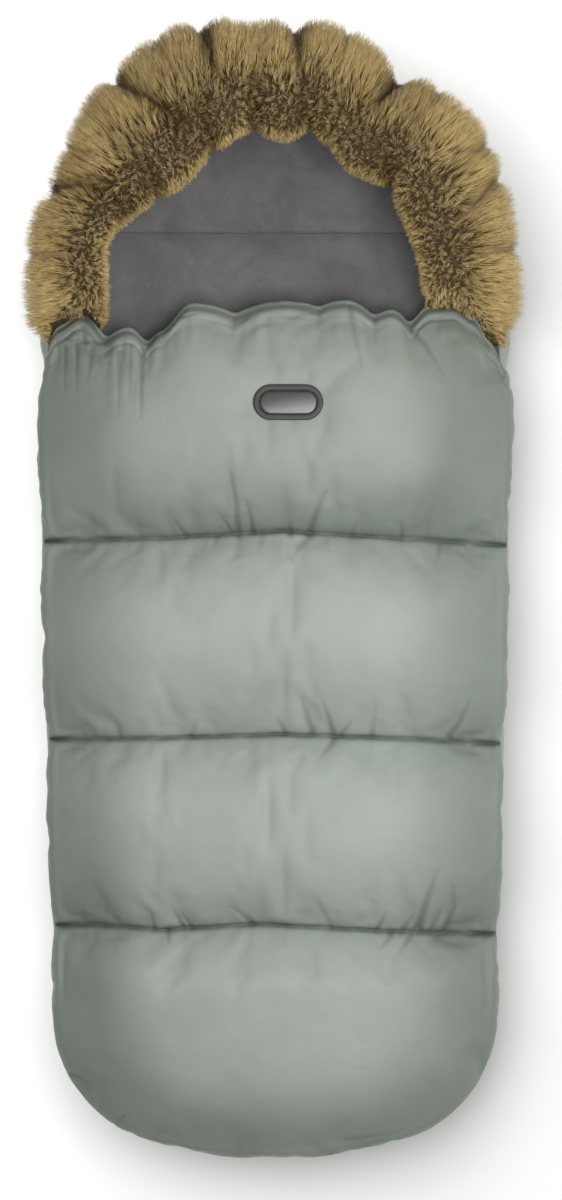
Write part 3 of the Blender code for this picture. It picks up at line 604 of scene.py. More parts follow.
bunched = spaced((foot_y, seam_ys[2], seam_ys[1], seam_ys[0], hem_y), (10, 30, 32, 36), 0.06)
cover_rows = np.concatenate([np.linspace(foot_y - foot_reach, foot_y, 23)[:-1], bunched])
cover_columns = np.sin(np.linspace(-1, 1, 65) * 0.9) / math.sin(0.9)
S, V = np.meshgrid(cover_columns, cover_rows)
x, y, share = plan(S, V)
top_share = share.ravel()
upper = np.stack([x, y + to_photo(x, V), cover_top(share, V)], -1)
hem_lift = smooth_step((V - 0.215) / 0.043)
x, y, share = plan(S, V, 0.985)
lower = np.stack([x, y + to_photo(x, V) - 0.004 * hem_lift,
                  cover_roof(share) + fleece_thick + gap], -1)
edge = border(len(cover_rows) - 1, len(cover_columns) - 1)
edge_s, edge_v = S[edge[:, 0], edge[:, 1]], V[edge[:, 0], edge[:, 1]]
at_hem = edge[:, 0] == len(cover_rows) - 1
full = fullness(edge_v)
rise = (crown_z - edge_z) * full
lining_top, zip_half = roof_z + fleece_thick, 0.2095
hem_height = 0.5 * (cover_top(np.abs(edge_s), edge_v) - roof_z - fleece_thick)
hem_x, hem_base = plan(edge_s, edge_v)[:2]
narrow = np.where(edge_s > 0, 0.52, 0.30)
bulge = 0.0148 * (0.6 + 0.4 * full) * (narrow + (1 - narrow) * smooth_step((hem_y - edge_v) / 0.12))
cover_side = ((0.42, 0.545), (0.76, 0.44), (0.96, 0.33), (1.0, 0.24), (0.90, 0.15), (0.62, 0.075),
              (0.30, 0.02))
rings = []
for k, (out_share, up) in enumerate(cover_side):
    x, y, share = plan(edge_s, edge_v, 1.0, out_share * bulge)
    z = edge_z + up * rise
    roll = (k + 1) / (len(cover_side) + 1) * math.pi
    x = np.where(at_hem, hem_x, x)
    y = np.where(at_hem, hem_base + 0.0045 * math.sin(roll), y)
    z = np.where(at_hem, lining_top + hem_height * (1 + math.cos(roll)), z)
    rings.append(np.stack([x, y + to_photo(np.clip(x, -zip_half, zip_half), edge_v), z], -1))
for out, up, back in ((0.0015, 0.0, 0.001), (0.0, 0.0032, 0.002)):
    x, y, share = plan(edge_s, edge_v, 1.0, out)
    z = np.where(at_hem, lining_top, edge_z + up)
    moved = to_photo(np.clip(x, -zip_half, zip_half), edge_v)
    rings.append(np.stack([x, y + moved - back * at_hem, z], -1))
side = layers(upper, rings, edge)
across = np.concatenate([S.ravel()] + [edge_s] * len(rings) + [S.ravel()])
length = np.concatenate([V.ravel()] + [edge_v] * len(rings) + [V.ravel()])
rim_share = np.concatenate([top_share, np.ones(len(rings) * len(edge)), top_share])
cover_quilt = closed_body("cover_quilt", upper, rings, lower)
put_marks(cover_quilt, layer=side, length=length, share=rim_share)
held = np.where(np.min([np.abs(length - stop) for stop in seam_ys], axis=0) < 0.0012, 1.0, 0.0)
held = np.where(length > hem_y - 0.002, 0.6, held)
held = np.where((length > hem_y - 0.016) & (length < hem_y - 0.012), 0.9, held)
badge_x, badge_y, badge_long, badge_wide = 0.012, 0.174, 0.064, 0.033
under_badge = np.hypot(np.maximum(np.abs(across * 0.2066 - badge_x) - 0.018, 0), length - badge_y)
held = np.where((under_badge < 0.019) & (side < 0.05), 1.0, held)
held = np.where(side > 0.78, 1.0, held)
blow_up(cover_quilt, held, 0.008, 5.0, -0.035)
subdivide(cover_quilt, 2)

# folds where the stitching draws the shell in: depth and width in millimetres, then the places
# each runs through, from the stitching outwards
cover_folds = (
    (1.8, 2.2, ((186, 536), (174, 520))), (1.8, 2.0, ((232, 532), (219, 514))),
    (2.4, 3.0, ((238, 534), (236, 505), (230, 474))),
    (2.6, 2.2, ((253, 532), (251, 520), (246, 500))), (2.2, 2.4, ((290, 534), (289, 521))),
    (2.6, 3.5, ((309, 536), (314, 518), (326, 492))), (1.8, 2.2, ((402, 540), (401, 522))),
    (1.3, 2.5, ((352, 536), (356, 522))), (1.3, 3.0, ((216, 538), (210, 552))),
    (1.1, 3.0, ((262, 536), (258, 552))), (1.4, 3.5, ((304, 540), (292, 556))),
    (1.3, 3.0, ((440, 544), (436, 560))), (1.8, 2.2, ((285, 734), (276, 716))),
    (2.4, 3.2, ((312, 733), (307, 718), (301, 698))),
    (2.3, 2.8, ((333, 735), (328, 718), (321, 699))), (1.6, 2.2, ((341, 736), (352, 720))),
    (2.2, 3.0, ((334, 739), (327, 749), (317, 760))),
    (2.0, 3.0, ((450, 737), (460, 722), (470, 700))), (1.2, 3.0, ((372, 735), (375, 702))),
    (1.4, 2.5, ((120, 738), (116, 722))), (1.1, 2.5, ((190, 737), (196, 722))),
    (2.2, 2.4, ((183, 928), (173, 908))), (2.2, 2.2, ((191, 928), (180, 911))),
    (1.8, 2.4, ((154, 930), (150, 912))), (2.0, 2.4, ((167, 931), (169, 943))),
    (1.8, 3.0, ((252, 924), (240, 913), (229, 906))), (1.2, 3.0, ((331, 927), (318, 902))),
    (2.2, 2.6, ((377, 932), (386, 912))), (2.2, 2.6, ((402, 933), (415, 912))),
    (2.8, 4.0, ((418, 930), (425, 904), (436, 871))),
    (2.4, 3.4, ((444, 934), (453, 908), (452, 884))), (2.0, 2.4, ((430, 934), (441, 909))),
    (2.0, 3.0, ((391, 935), (380, 948))), (2.0, 3.0, ((411, 936), (398, 952))),
    (1.6, 5.0, ((436, 938), (466, 950))), (1.6, 2.2, ((65, 348), (65, 394))),
    (2.0, 2.4, ((77, 344), (77, 392))), (1.8, 2.4, ((93, 346), (88, 382))),
    (1.4, 2.2, ((120, 352), (119, 416))), (2.0, 2.4, ((143, 350), (141, 420))),
    (1.4, 2.0, ((131, 345), (130, 402))), (2.4, 2.2, ((155, 337), (144, 353))),
    (2.2, 2.2, ((104, 343), (84, 342), (62, 338))), (1.4, 1.8, ((181, 318), (197, 313))),
    (1.6, 2.4, ((235, 317), (232, 338))), (1.8, 2.6, ((350, 306), (354, 335), (360, 368))),
    (1.6, 2.4, ((375, 320), (374, 342))), (2.0, 2.4, ((411, 330), (424, 346), (442, 374))),
    (1.5, 2.0, ((416, 330), (430, 319), (444, 316))), (1.3, 2.2, ((320, 311), (316, 332))),
    (1.6, 2.2, ((486, 345), (478, 334), (466, 325))),
    (1.8, 2.5, ((64, 1072), (84, 1078), (92, 1092))), (1.6, 2.2, ((112, 1126), (128, 1112))),
    (1.1, 2.4, ((330, 1152), (372, 1142), (404, 1128))), (0.9, 2.4, ((345, 1138), (395, 1132))))


def fold_depth(x, y, folds, fade):
    """How deep folds are at plan points. Each is widest and deepest where it starts, and has lost
    the share fade of that at its end."""
    deep = np.zeros_like(x)
    for depth, wide, places in folds:
        line = photo_places(places)
        steps = np.linalg.norm(np.diff(line, axis=0), axis=1)
        for k, (a, way) in enumerate(zip(line, np.diff(line, axis=0))):
            run = ((x - a[0]) * way[0] + (y - a[1]) * way[1]) / steps[k] ** 2
            run = np.clip(run, 0, 1)
            away = np.hypot(x - a[0] - run * way[0], y - a[1] - run * way[1])
            size = 1 - fade * (steps[:k].sum() + run * steps[k]) / steps.sum()
            near = bell(away, wide * 0.001 * (0.4 + 0.6 * size))
            deep = np.maximum(deep, depth * 0.001 * size * near)
    return deep


points = points_of(cover_quilt)
side, length = mark_of(cover_quilt, "layer"), mark_of(cover_quilt, "length")
outer = smooth_step((0.78 - side) / 0.08)
x, y = points[:, 0].copy(), points[:, 1].copy()
drop = 1.5 * fold_depth(x, y, cover_folds, 0.8)
seams = [seam_line(k, x) + 0.0002 * np.sin(x * 151 + k) + 0.0001 * np.sin(x * 389 + 2 * k)
         for k in range(3)]
for k in range(3):
    away = y - seams[k]
    waves = sum(np.sin(x * turn + phase) for turn, phase in ((410, k), (263, 2 * k), (617, 1.3)))
    fade = np.exp(-np.abs(away) / 0.009) * (1 - bell(away, 0.003))
    drop += 0.0036 * bell(away, 0.0017) + 0.0012 * bell(away, 0.006)
    drop -= 0.0004 * waves * fade
# the hem's casing: a rolled edge, a stitched line under it, and scallops that lift between notches
rolled_at, stitched_at, gathered_at = 0.0045, 0.0112, 0.020
away = hem_line(x) - y
at_hem = smooth_step((length - 0.17) / 0.02)
notches = from_pixel(np.array((20, *hem_notches, 524)), 0)[0]
place = np.clip(np.searchsorted(notches, x) - 1, 0, len(notches) - 2)
crown = np.sin(np.pi * np.clip((x - notches[place]) / (notches[place + 1] - notches[place]), 0, 1))
drop -= at_hem * (0.0048 * crown - 0.0012) * np.exp(-np.maximum(away, 0) / 0.013)
drop -= at_hem * 0.0008 * bell(away - rolled_at, 0.0034)
sewn = 0.0004 + 0.0010 * smooth_step((np.abs(x) - 0.10) / 0.03)
drop += at_hem * sewn * (1 + 0.5 * np.sin(x * 97)) * bell(away - stitched_at, 0.0018)
waves = sum(np.sin(x * turn + 30 * y + phase) for turn, phase in ((330, 0), (521, 2), (217, 4)))
left = 1 + smooth_step((-0.09 - x) / 0.05)
drop -= at_hem * 0.00042 * left * waves * bell(away - gathered_at, 0.011)
share = mark_of(cover_quilt, "share")
lowest = cover_roof(share) + fleece_thick + 0.0010
on_top = side < 0.04
new_z = points[:, 2] - outer * drop
points[:, 2] = np.where(on_top, np.maximum(new_z, np.minimum(lowest, points[:, 2])), new_z)
# painted shade along the seams, uneven along them, and in the folds, kept as a mark for the cloth's
# colour
patchy = 0.96 + 0.10 * np.sin(x * 83 + 1) + 0.07 * np.sin(x * 241)
tuck = patchy * np.max([bell(y - seam, 0.0024) for seam in seams], axis=0)
folded = np.clip(fold_depth(x, y, cover_folds, 0.8) / 0.002, 0, 1)
tuck = np.clip(tuck + 0.45 * folded, 0, 1) * outer
# painted shade toward the sides, stronger on the left and toward the foot, and over the whole flap
# above the first seam, kept as a mark for the cloth's colour
above = y - seams[0]
shaded = 0.92 + 0.34 * smooth_step(-x / 0.05) * smooth_step(-y / 0.3)
slack = shaded * smooth_step((share - 0.50) / 0.46) + smooth_step(above / 0.004) * (
    0.36 + 0.72 * np.exp(-np.maximum(above, 0) / 0.028))
put_marks(cover_quilt, tuck=tuck, slack=np.clip(slack, 0, 1) * outer)
# small scallops of the side edges between the zip's stitches
edge_wave = (0.0004 * np.sin(y * 131 + 3 * np.sin(y * 41))
             + 0.0003 * np.sin(y * 303 + 2 * np.sin(y * 57)))
points[:, 0] += np.sign(x) * outer * smooth_step((np.abs(x) - 0.200) / 0.012) * edge_wave
put_points(cover_quilt, points)


def pick_faces(piece, rule):
    """Goes into edit mode with only those faces selected that the rule takes."""
    select_only(piece)
    bpy.ops.object.mode_set(mode="EDIT")
    bm = bmesh.from_edit_mesh(piece.data)
    for face in bm.faces:
        face.select = rule(face)
    bmesh.update_edit_mesh(piece.data)


# the covered underside needs few faces
under = side > 0.96
pick_faces(cover_quilt, lambda face: all(under[vert.index] for vert in face.verts))
bpy.ops.mesh.decimate(ratio=0.1)
bpy.ops.object.mode_set(mode="OBJECT")
cover_quilt.data.shade_smooth()
finish(cover_quilt, sage_fabric)
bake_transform(cover_quilt)
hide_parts("cover_outer_fabric", "cover_wadding", "flap_outer_fabric", "flap_wadding")


# Cover lining: one sheet of the same fleece under the cover and the flap. It ends in the hem.
def roof_sheet(S, V):
    def heights(share, x, y, v):
        return cover_roof(share) + 0.0007 * np.sin(x * 45 + 2 * np.sin(y * 30)) * np.sin(y * 38)
    return 1 + 0 * S, heights


roof_rows = spaced((foot_y - foot_reach, foot_y, seam_ys[0], hem_y - 0.007), (14, 42, 26), 0.0)
cover_fleece = lining_sheet("cover_fleece", lining_columns, roof_rows, roof_sheet, to_photo, 0.003)
thicken(cover_fleece, fleece_thick, 1)
finish(cover_fleece, grey_fleece)
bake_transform(cover_fleece)
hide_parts("cover_lining", "flap_lining")


# Elastics: a flat woven band in the casing of the flap's hem, which follows its scallops, and
# another in the hood's rim under the fur.
S, V = np.meshgrid(np.linspace(-0.78, 0.78, 91), np.linspace(0, 1, 3))
x = S * half_width(hem_y)
hem_band = layer_of("hem_elastic_band", x, hem_line(x) - 0.0095 + 0.006 * V, 0.0655 + 0 * x)
thicken(hem_band, 0.0012, 0)

# woven elastic: rubber threads run along it under white polyester, as fine ribs
woven_elastic, shader = new_material("woven_elastic", "#d9d9d6", 0.8)
place = add(woven_elastic, "TexCoord").outputs["Object"]
rib = add(woven_elastic, "TexWave", {"Vector": place, "Scale": 260.0}, bands_direction="X")
bump = add(woven_elastic, "Bump", {"Height": rib.outputs["Fac"], "Strength": 0.5,
                                   "Distance": 0.0003})
feed(shader, Normal=bump.outputs[0])
finish(hem_band, woven_elastic)
finish(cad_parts["hood_rim_elastic"], woven_elastic)
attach(hem_band, "flap")
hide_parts("hem_elastic")


# Zips: two coil zips, one each side, from the mouth down and round the foot. Polyester coils
# with a tooth every 1.6 mm, sewn on woven tapes that stand between the quilts.
zip_end = np.radians(58.9)
zip_top, back_tape_top = 0.2092, 0.213
tooth_pitch, tooth_long, tooth_thick, tape_thick = 0.0016, 0.0026, 0.00105, 0.0008


def foot_edge(angle, out=0.0):
    """Places round the foot on the zip line, or out beyond it, by angle from the side."""
    round_off = (np.cos(angle) ** 2.5 + np.sin(angle) ** 2.5) ** (-1 / 2.5)
    return ((half_width(foot_y) + out) * round_off * np.cos(angle),
            foot_y - (foot_reach + out) * round_off * np.sin(angle))


def zip_line(side, top_y, pitch):
    """Points along one zip from the foot to top_y, a pitch apart, with the way out at each."""
    x, y = foot_edge(np.linspace(zip_end, 0, 60))
    x = np.append(x, half_width(top_y))
    y = np.append(y, top_y)
    run = np.append(0, np.cumsum(np.hypot(np.diff(x), np.diff(y))))
    stops = np.arange(pitch / 2, run[-1], pitch)
    px, py = np.interp(stops, run, x), np.interp(stops, run, y)
    turn = np.arctan2(np.gradient(py), np.gradient(px)) - np.pi / 2
    return side * px, py, side * np.cos(turn), np.sin(turn)


def tooth_row(name, side, low, high, shift):
    """One tooth modelled from a cylinder, copied along the zip and shifted along it."""
    bpy.ops.object.select_all(action="DESELECT")
    bpy.ops.mesh.primitive_cylinder_add(vertices=8, radius=0.5, depth=1.0, location=(0, 0, 0))
    tooth = bpy.context.object
    bpy.ops.object.mode_set(mode="EDIT")
    bpy.ops.mesh.select_all(action="SELECT")
    bpy.ops.transform.resize(value=(tooth_long, tooth_thick, high - low))
    bpy.ops.object.mode_set(mode="OBJECT")
    shape = points_of(tooth)
    sides = [list(face.vertices) for face in tooth.data.polygons]
    bpy.data.objects.remove(tooth)
    px, py, out_x, out_y = zip_line(side, zip_top, tooth_pitch)
    verts, faces = [], []
    for k in range(len(px)):
        move = np.empty_like(shape)
        along = shape[:, 1] + shift
        move[:, 0] = px[k] + shape[:, 0] * out_x[k] - along * out_y[k]
        move[:, 1] = py[k] + shape[:, 0] * out_y[k] + along * out_x[k]
        move[:, 2] = (low + high) / 2 + shape[:, 2]
        faces += [[index + len(verts) * len(shape) for index in face] for face in sides]
        verts.append(move)
    piece = new_piece(name, np.vstack(verts).tolist(), faces)
    piece.data.shade_smooth()
    return piece


def tape(name, side, top_y, low, high):
    """A strip of zip tape standing on the zip line, closed all round."""
    px, py, out_x, out_y = zip_line(side, top_y, 0.006)
    loops = []
    half = tape_thick / 2
    for out, z in ((-half, low), (half, low), (half, high), (-half, high)):
        loops.append(np.stack([px + out * out_x, py + out * out_y, np.full(len(px), z)], -1))
    verts = np.stack(loops, 1).reshape(-1, 3)
    faces = [[0, 1, 2, 3], [len(verts) - k for k in (1, 2, 3, 4)]]
    for k in range(len(px) - 1):
        for a in range(4):
            b = (a + 1) % 4
            faces.append([4 * k + a, 4 * k + 4 + a, 4 * k + 4 + b, 4 * k + b])
    return new_piece(name, verts.tolist(), faces)


# moulded polyester coil: slightly glossy dark grey-green monofilament
zip_coil, shader = new_material("polyester_zip_coil", "#4d524c", 0.4)
place = add(zip_coil, "TexCoord").outputs["Object"]
wear = add(zip_coil, "TexNoise", {"Vector": place, "Scale": 160.0, "Detail": 2.0})
rough = add(zip_coil, "MapRange", {"Value": wear.outputs["Fac"], "To Min": 0.32, "To Max": 0.5})
feed(shader, Roughness=rough.outputs[0])
# woven tape: a herringbone of matt threads, drawn every 0.6 mm
zip_tape, shader = new_material("woven_zip_tape", "#7d857c", 0.85)
place = add(zip_tape, "TexCoord").outputs["Object"]
warp = add(zip_tape, "TexWave", {"Vector": place, "Scale": 520.0}, bands_direction="DIAGONAL")
weft = add(zip_tape, "TexWave", {"Vector": place, "Scale": 520.0}, bands_direction="Z")
weave = add(zip_tape, "Math", {0: warp.outputs["Fac"], 1: weft.outputs["Fac"]},
            operation="MULTIPLY")
shade = add(zip_tape, "Mix", {0: weave.outputs[0], 6: colour("#6a7169"), 7: colour("#868e85")},
            data_type="RGBA")
bump = add(zip_tape, "Bump", {"Height": weave.outputs[0], "Strength": 0.5, "Distance": 0.0002})
feed(shader, Base_Color=shade.outputs[2], Normal=bump.outputs[0])

for side, word in ((-1, "left"), (1, "right")):
    piece = tape("back_tape_" + word, side, back_tape_top, 0.0396, 0.0460)
    finish(piece, zip_tape)
    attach(piece, "back")
    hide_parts("back_zip_tape_" + word)
    piece = tooth_row("back_teeth_" + word, side, 0.0455, 0.0495, 0.0)
    finish(piece, zip_coil)
    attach(piece, "back")
    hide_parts("back_zip_coil_" + word)
    piece = tape("cover_tape_" + word, side, zip_top, 0.0528, 0.0580)
    finish(piece, zip_tape)
    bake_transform(piece)
    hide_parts("cover_zip_tape_" + word, "flap_zip_tape_" + word)
    piece = tooth_row("cover_teeth_" + word, side, 0.0493, 0.0533, tooth_pitch / 2)
    finish(piece, zip_coil)
    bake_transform(piece)
    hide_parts("cover_zip_coil_" + word, "flap_zip_coil_" + word)


# Foot web: the shell is left whole between the two zips at the foot, where the cover hinges on
# the back. One strip of the sage fabric, sewn to both quilts.
S, V = np.meshgrid(np.linspace(-1, 1, 61), np.linspace(0, 1, 9))
x, y = foot_edge(zip_end + (np.pi / 2 - zip_end) * (1 - np.abs(S)),
                 -0.0034 * np.sin(np.pi * V) ** 0.8)
foot_web = layer_of("foot_web", np.sign(S) * x, y, 0.0400 + 0.0170 * V)
thicken(foot_web, 0.0008, 0)
finish(foot_web, sage_fabric)
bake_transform(foot_web)
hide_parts("foot_hinge_strip")


# Sliders, pulls and top stops: die-cast zinc, plated dark grey. Their plates, bridge and eye are
# cut shapes with every edge rounded.
def round_edges(piece, width, segments, angle):
    """Rounds the edges that are sharper than an angle in degrees."""
    edge = piece.modifiers.new("rounded", "BEVEL")
    edge.width, edge.segments = width, segments
    edge.limit_method, edge.angle_limit = "ANGLE", math.radians(angle)
    apply(piece, edge)


def rounded_copy(node, name, body, width):
    """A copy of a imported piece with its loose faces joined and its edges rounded."""
    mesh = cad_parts[node].data.copy()
    piece = bpy.data.objects.new(name, mesh)
    bpy.context.scene.collection.objects.link(piece)
    select_only(piece)
    bpy.ops.object.mode_set(mode="EDIT")
    bpy.ops.mesh.select_all(action="SELECT")
    bpy.ops.mesh.remove_doubles(threshold=0.00001)
    bpy.ops.mesh.dissolve_limited(angle_limit=math.radians(2))
    bpy.ops.object.mode_set(mode="OBJECT")
    if "custom_normal" in mesh.attributes:
        mesh.attributes.remove(mesh.attributes["custom_normal"])
    round_edges(piece, width, 2, 40)
    bpy.ops.object.shade_smooth_by_angle(angle=math.radians(40))
    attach(piece, body)
    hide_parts(node)
    return piece


# plated zinc: smooth, dark, with faint casting grain and softly worn edges
zinc, shader = new_material("plated_zinc", "#6d6f70", 0.3, Metallic=1.0)
place = add(zinc, "TexCoord").outputs["Object"]
grain = add(zinc, "TexNoise", {"Vector": place, "Scale": 700.0, "Detail": 3.0})
rough = add(zinc, "MapRange", {"Value": grain.outputs["Fac"], "To Min": 0.24, "To Max": 0.42})
bump = add(zinc, "Bump", {"Height": grain.outputs["Fac"], "Strength": 0.3, "Distance": 0.00005})
feed(shader, Roughness=rough.outputs[0], Normal=bump.outputs[0])
for word in ("left", "right"):
    for node, name, body, width in (
            ("slider_" + word, "zip_slider_" + word, "slider_" + word, 0.0002),
            ("pull_" + word, "zip_pull_" + word, "pull_" + word, 0.0002),
            ("zip_top_stop_" + word, "top_stop_" + word, "back", 0.0005)):
        piece = rounded_copy(node, name, body, width)
        finish(piece, zinc)


# Harness slots: each is bound with a folded strip of grosgrain through all the layers.
grosgrain, shader = new_material("grosgrain_binding", "#7b837a", 0.8)
place = add(grosgrain, "TexCoord").outputs["Object"]
rib = add(grosgrain, "TexWave", {"Vector": place, "Scale": 260.0}, bands_direction="X")
shade = add(grosgrain, "Mix", {0: rib.outputs["Fac"], 6: colour("#6a7169"), 7: colour("#868e85")},
            data_type="RGBA")
bump = add(grosgrain, "Bump", {"Height": rib.outputs["Fac"], "Strength": 0.6, "Distance": 0.0003})
feed(shader, Base_Color=shade.outputs[2], Normal=bump.outputs[0])
binding_wide, binding_corner = 0.0048, 0.0030
# the strip's section: how far out from the slot, and how high
binding_loop = ((0.0015, 0.0003), (0.0004, 0.0005), (0.0, 0.0012), (0.0, 0.0364),
                (0.0006, 0.0375), (0.0030, 0.0379), (0.0052, 0.0376), (0.0056, 0.0371),
                (0.0052, 0.0366), (0.0015, 0.0361))
for (slot_x, slot_y, long), word in zip(slots, ("upper_left", "upper_right", "lower_left",
                                                "lower_right", "crotch")):
    loops = []
    for out, z in binding_loop:
        radius = binding_corner + out
        corner = np.radians(np.linspace(0, 90, 7))
        half_x, half_y = long / 2 - binding_wide, slot_wide / 2 - binding_wide
        ring = []
        for turn in range(4):
            angle = corner + turn * np.pi / 2
            at_x, at_y = ((1, 1), (-1, 1), (-1, -1), (1, -1))[turn]
            ring += [(slot_x + at_x * half_x + radius * math.cos(a),
                      slot_y + at_y * half_y + radius * math.sin(a), z) for a in angle]
        loops.append(ring)
    count = len(loops[0])
    faces = [[row * count + k, row * count + (k + 1) % count,
              (row + 1) % len(loops) * count + (k + 1) % count, (row + 1) % len(loops) * count + k]
             for row in range(len(loops)) for k in range(count)]
    piece = new_piece("slot_trim_" + word, [place for ring in loops for place in ring], faces)
    select_only(piece)
    bpy.ops.object.shade_smooth_by_angle(angle=math.radians(50))
    finish(piece, grosgrain)
    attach(piece, "back")
    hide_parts("slot_binding_" + word)


# Badge: a blank satin plate in a moulded rubber rim, a pill 64 mm long, fixed through the flap.
badge_fall = 0.0027             # how much lower the flap is at the badge's upper edge
tilt = math.atan2(-badge_fall, badge_wide)
badge_seat = Matrix.Translation((badge_x, badge_y, 0.1037)) @ Matrix.Rotation(tilt, 4, "X")


def pill(name, length, width, bottom, depth):
    """A pill made from a cylinder: its two halves are moved apart to give it length."""
    bpy.ops.object.select_all(action="DESELECT")
    bpy.ops.mesh.primitive_cylinder_add(vertices=48, radius=width / 2, depth=depth,
                                        location=(0, 0, bottom + depth / 2))
    made = bpy.context.object
    made.name = made.data.name = name
    bpy.ops.object.transform_apply(location=True, rotation=True, scale=True)
    bpy.ops.object.mode_set(mode="EDIT")
    for way in (1, -1):
        bpy.ops.mesh.select_all(action="DESELECT")
        bm = bmesh.from_edit_mesh(made.data)
        for vert in bm.verts:
            vert.select = vert.co.x * way > 1e-6
        bm.select_flush(True)
        bmesh.update_edit_mesh(made.data)
        bpy.ops.transform.translate(value=(way * (length - width) / 2, 0, 0))
    bpy.ops.mesh.select_all(action="DESELECT")
    bpy.ops.object.mode_set(mode="OBJECT")
    return made


rim_wide = 0.0055
badge_rim = pill("badge_rim", badge_long, badge_wide, 0.0003, 0.0030)
pick_faces(badge_rim, lambda face: abs(face.normal.z) > 0.9)
bpy.ops.mesh.inset(thickness=rim_wide, depth=0)
bpy.ops.mesh.bridge_edge_loops()
bpy.ops.object.mode_set(mode="OBJECT")
round_edges(badge_rim, 0.0013, 4, 40)
inside = 2 * rim_wide + 0.0006
badge_face = pill("badge_face", badge_long - inside, badge_wide - inside, 0.0003, 0.0018)
pick_faces(badge_face, lambda face: face.normal.z > 0.9)
bpy.ops.mesh.inset(thickness=0.0022, depth=0.0004)
bpy.ops.object.mode_set(mode="OBJECT")
round_edges(badge_face, 0.0004, 2, 12)
# moulded rubber: near black, matt, with a faint grain; satin metal: brushed along its length
rubber, shader = new_material("moulded_rubber", "#2f2f2e", 0.5)
place = add(rubber, "TexCoord").outputs["Object"]
grain = add(rubber, "TexNoise", {"Vector": place, "Scale": 1200.0, "Detail": 2.0})
bump = add(rubber, "Bump", {"Height": grain.outputs["Fac"], "Strength": 0.3, "Distance": 0.0001})
feed(shader, Normal=bump.outputs[0])
satin, shader = new_material("satin_metal_plate", "#585858", 0.46, Metallic=1.0)
place = add(satin, "TexCoord").outputs["Object"]
stretch = add(satin, "Mapping", {"Vector": place, "Scale": (40.0, 2600.0, 1.0)})
brush = add(satin, "TexNoise", {"Vector": stretch.outputs[0], "Scale": 1.0, "Detail": 3.0})
rough = add(satin, "MapRange", {"Value": brush.outputs["Fac"], "To Min": 0.28, "To Max": 0.46})
bump = add(satin, "Bump", {"Height": brush.outputs["Fac"], "Strength": 0.2, "Distance": 0.00005})
feed(shader, Roughness=rough.outputs[0], Normal=bump.outputs[0])
for piece, made, node, slot in ((badge_rim, rubber, "badge_frame", "badge_rim"),
                                (badge_face, satin, "badge_plate", "badge_face")):
    piece.data.transform(badge_seat)
    select_only(piece)
    bpy.ops.object.shade_smooth_by_angle(angle=math.radians(40))
    finish(piece, made)
    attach(piece, "flap")
    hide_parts(node)


# Fur trim: a strip of brown faux fur, 9 to 23 mm pile on a knitted ground, gathered and sewn
# along the hood's rim. The ground is one soft roll with the creases of the gathers, and the
# pile on it is combed outwards on the outside and stands up on the inside.
fur_outer = photo_places([
    (46, 352), (38, 338), (31, 318), (28, 294), (27, 269), (30, 243), (36, 215), (46, 190),
    (61, 166), (72, 136), (88, 105), (106, 83), (125, 66), (146, 49), (168, 36), (187, 27),
    (206, 23), (228, 25), (248, 30), (270, 27), (294, 25), (317, 27), (340, 31), (360, 41),
    (377, 54), (394, 76), (412, 80), (430, 87), (456, 105), (478, 126), (492, 152), (503, 180),
    (511, 212), (516, 244), (518, 275), (518, 305), (515, 325), (508, 345)])
fur_inner = photo_places([
    (66, 348), (94, 336), (106, 324), (110, 302), (111, 278), (110, 253), (118, 236), (130, 227),
    (144, 217), (156, 210), (168, 204), (178, 198), (187, 192), (195, 183), (202, 174), (209, 165),
    (217, 160), (228, 151), (244, 142), (256, 141), (272, 146), (286, 149), (302, 141), (322, 150),
    (335, 166), (344, 177), (358, 184), (374, 191), (388, 198), (393, 210), (398, 224), (405, 240),
    (412, 256), (416, 272), (419, 290), (424, 307), (440, 316), (462, 336)])
# gathers in the trim, from the edge inwards: depth and width in millimetres, then places
fur_creases = (
    (17, 6.5, ((32, 206), (60, 198), (85, 194), (110, 198), (128, 207))),
    (19, 7.5, ((103, 78), (128, 98), (155, 114), (182, 133))),
    (21, 8.5, ((194, 20), (206, 48), (214, 74), (221, 94))),
    (12, 5.5, ((213, 156), (209, 132), (204, 106))), (13, 5.5, ((256, 146), (255, 116), (257, 90))),
    (11, 5.5, ((161, 208), (152, 188), (146, 170))), (21, 8.5, ((293, 22), (296, 50), (297, 80))),
    (14, 6.5, ((312, 148), (309, 126), (306, 102))),
    (9, 3.5, ((346, 180), (331, 158), (326, 134), (339, 104))),
    (21, 9.5, ((408, 72), (396, 94), (384, 106), (370, 120))),
    (12, 5.5, ((389, 192), (388, 170), (385, 152))),
    (12, 6.0, ((500, 182), (482, 194), (466, 214), (446, 238))),
    (11, 7.0, ((494, 144), (478, 156), (462, 167))), (8, 5.5, ((518, 254), (490, 258), (460, 264))),
    (8, 5.0, ((32, 262), (60, 258), (86, 262))), (8, 5.0, ((44, 158), (72, 156), (100, 164))),
    (9, 5.0, ((348, 34), (342, 58), (336, 80))), (8, 4.5, ((438, 88), (428, 116), (412, 140))),
    (8, 4.5, ((156, 42), (166, 66), (180, 88))))


fur_count, fur_round = 260, 48
outer_hair, inner_hair = 0.0225, 0.0090
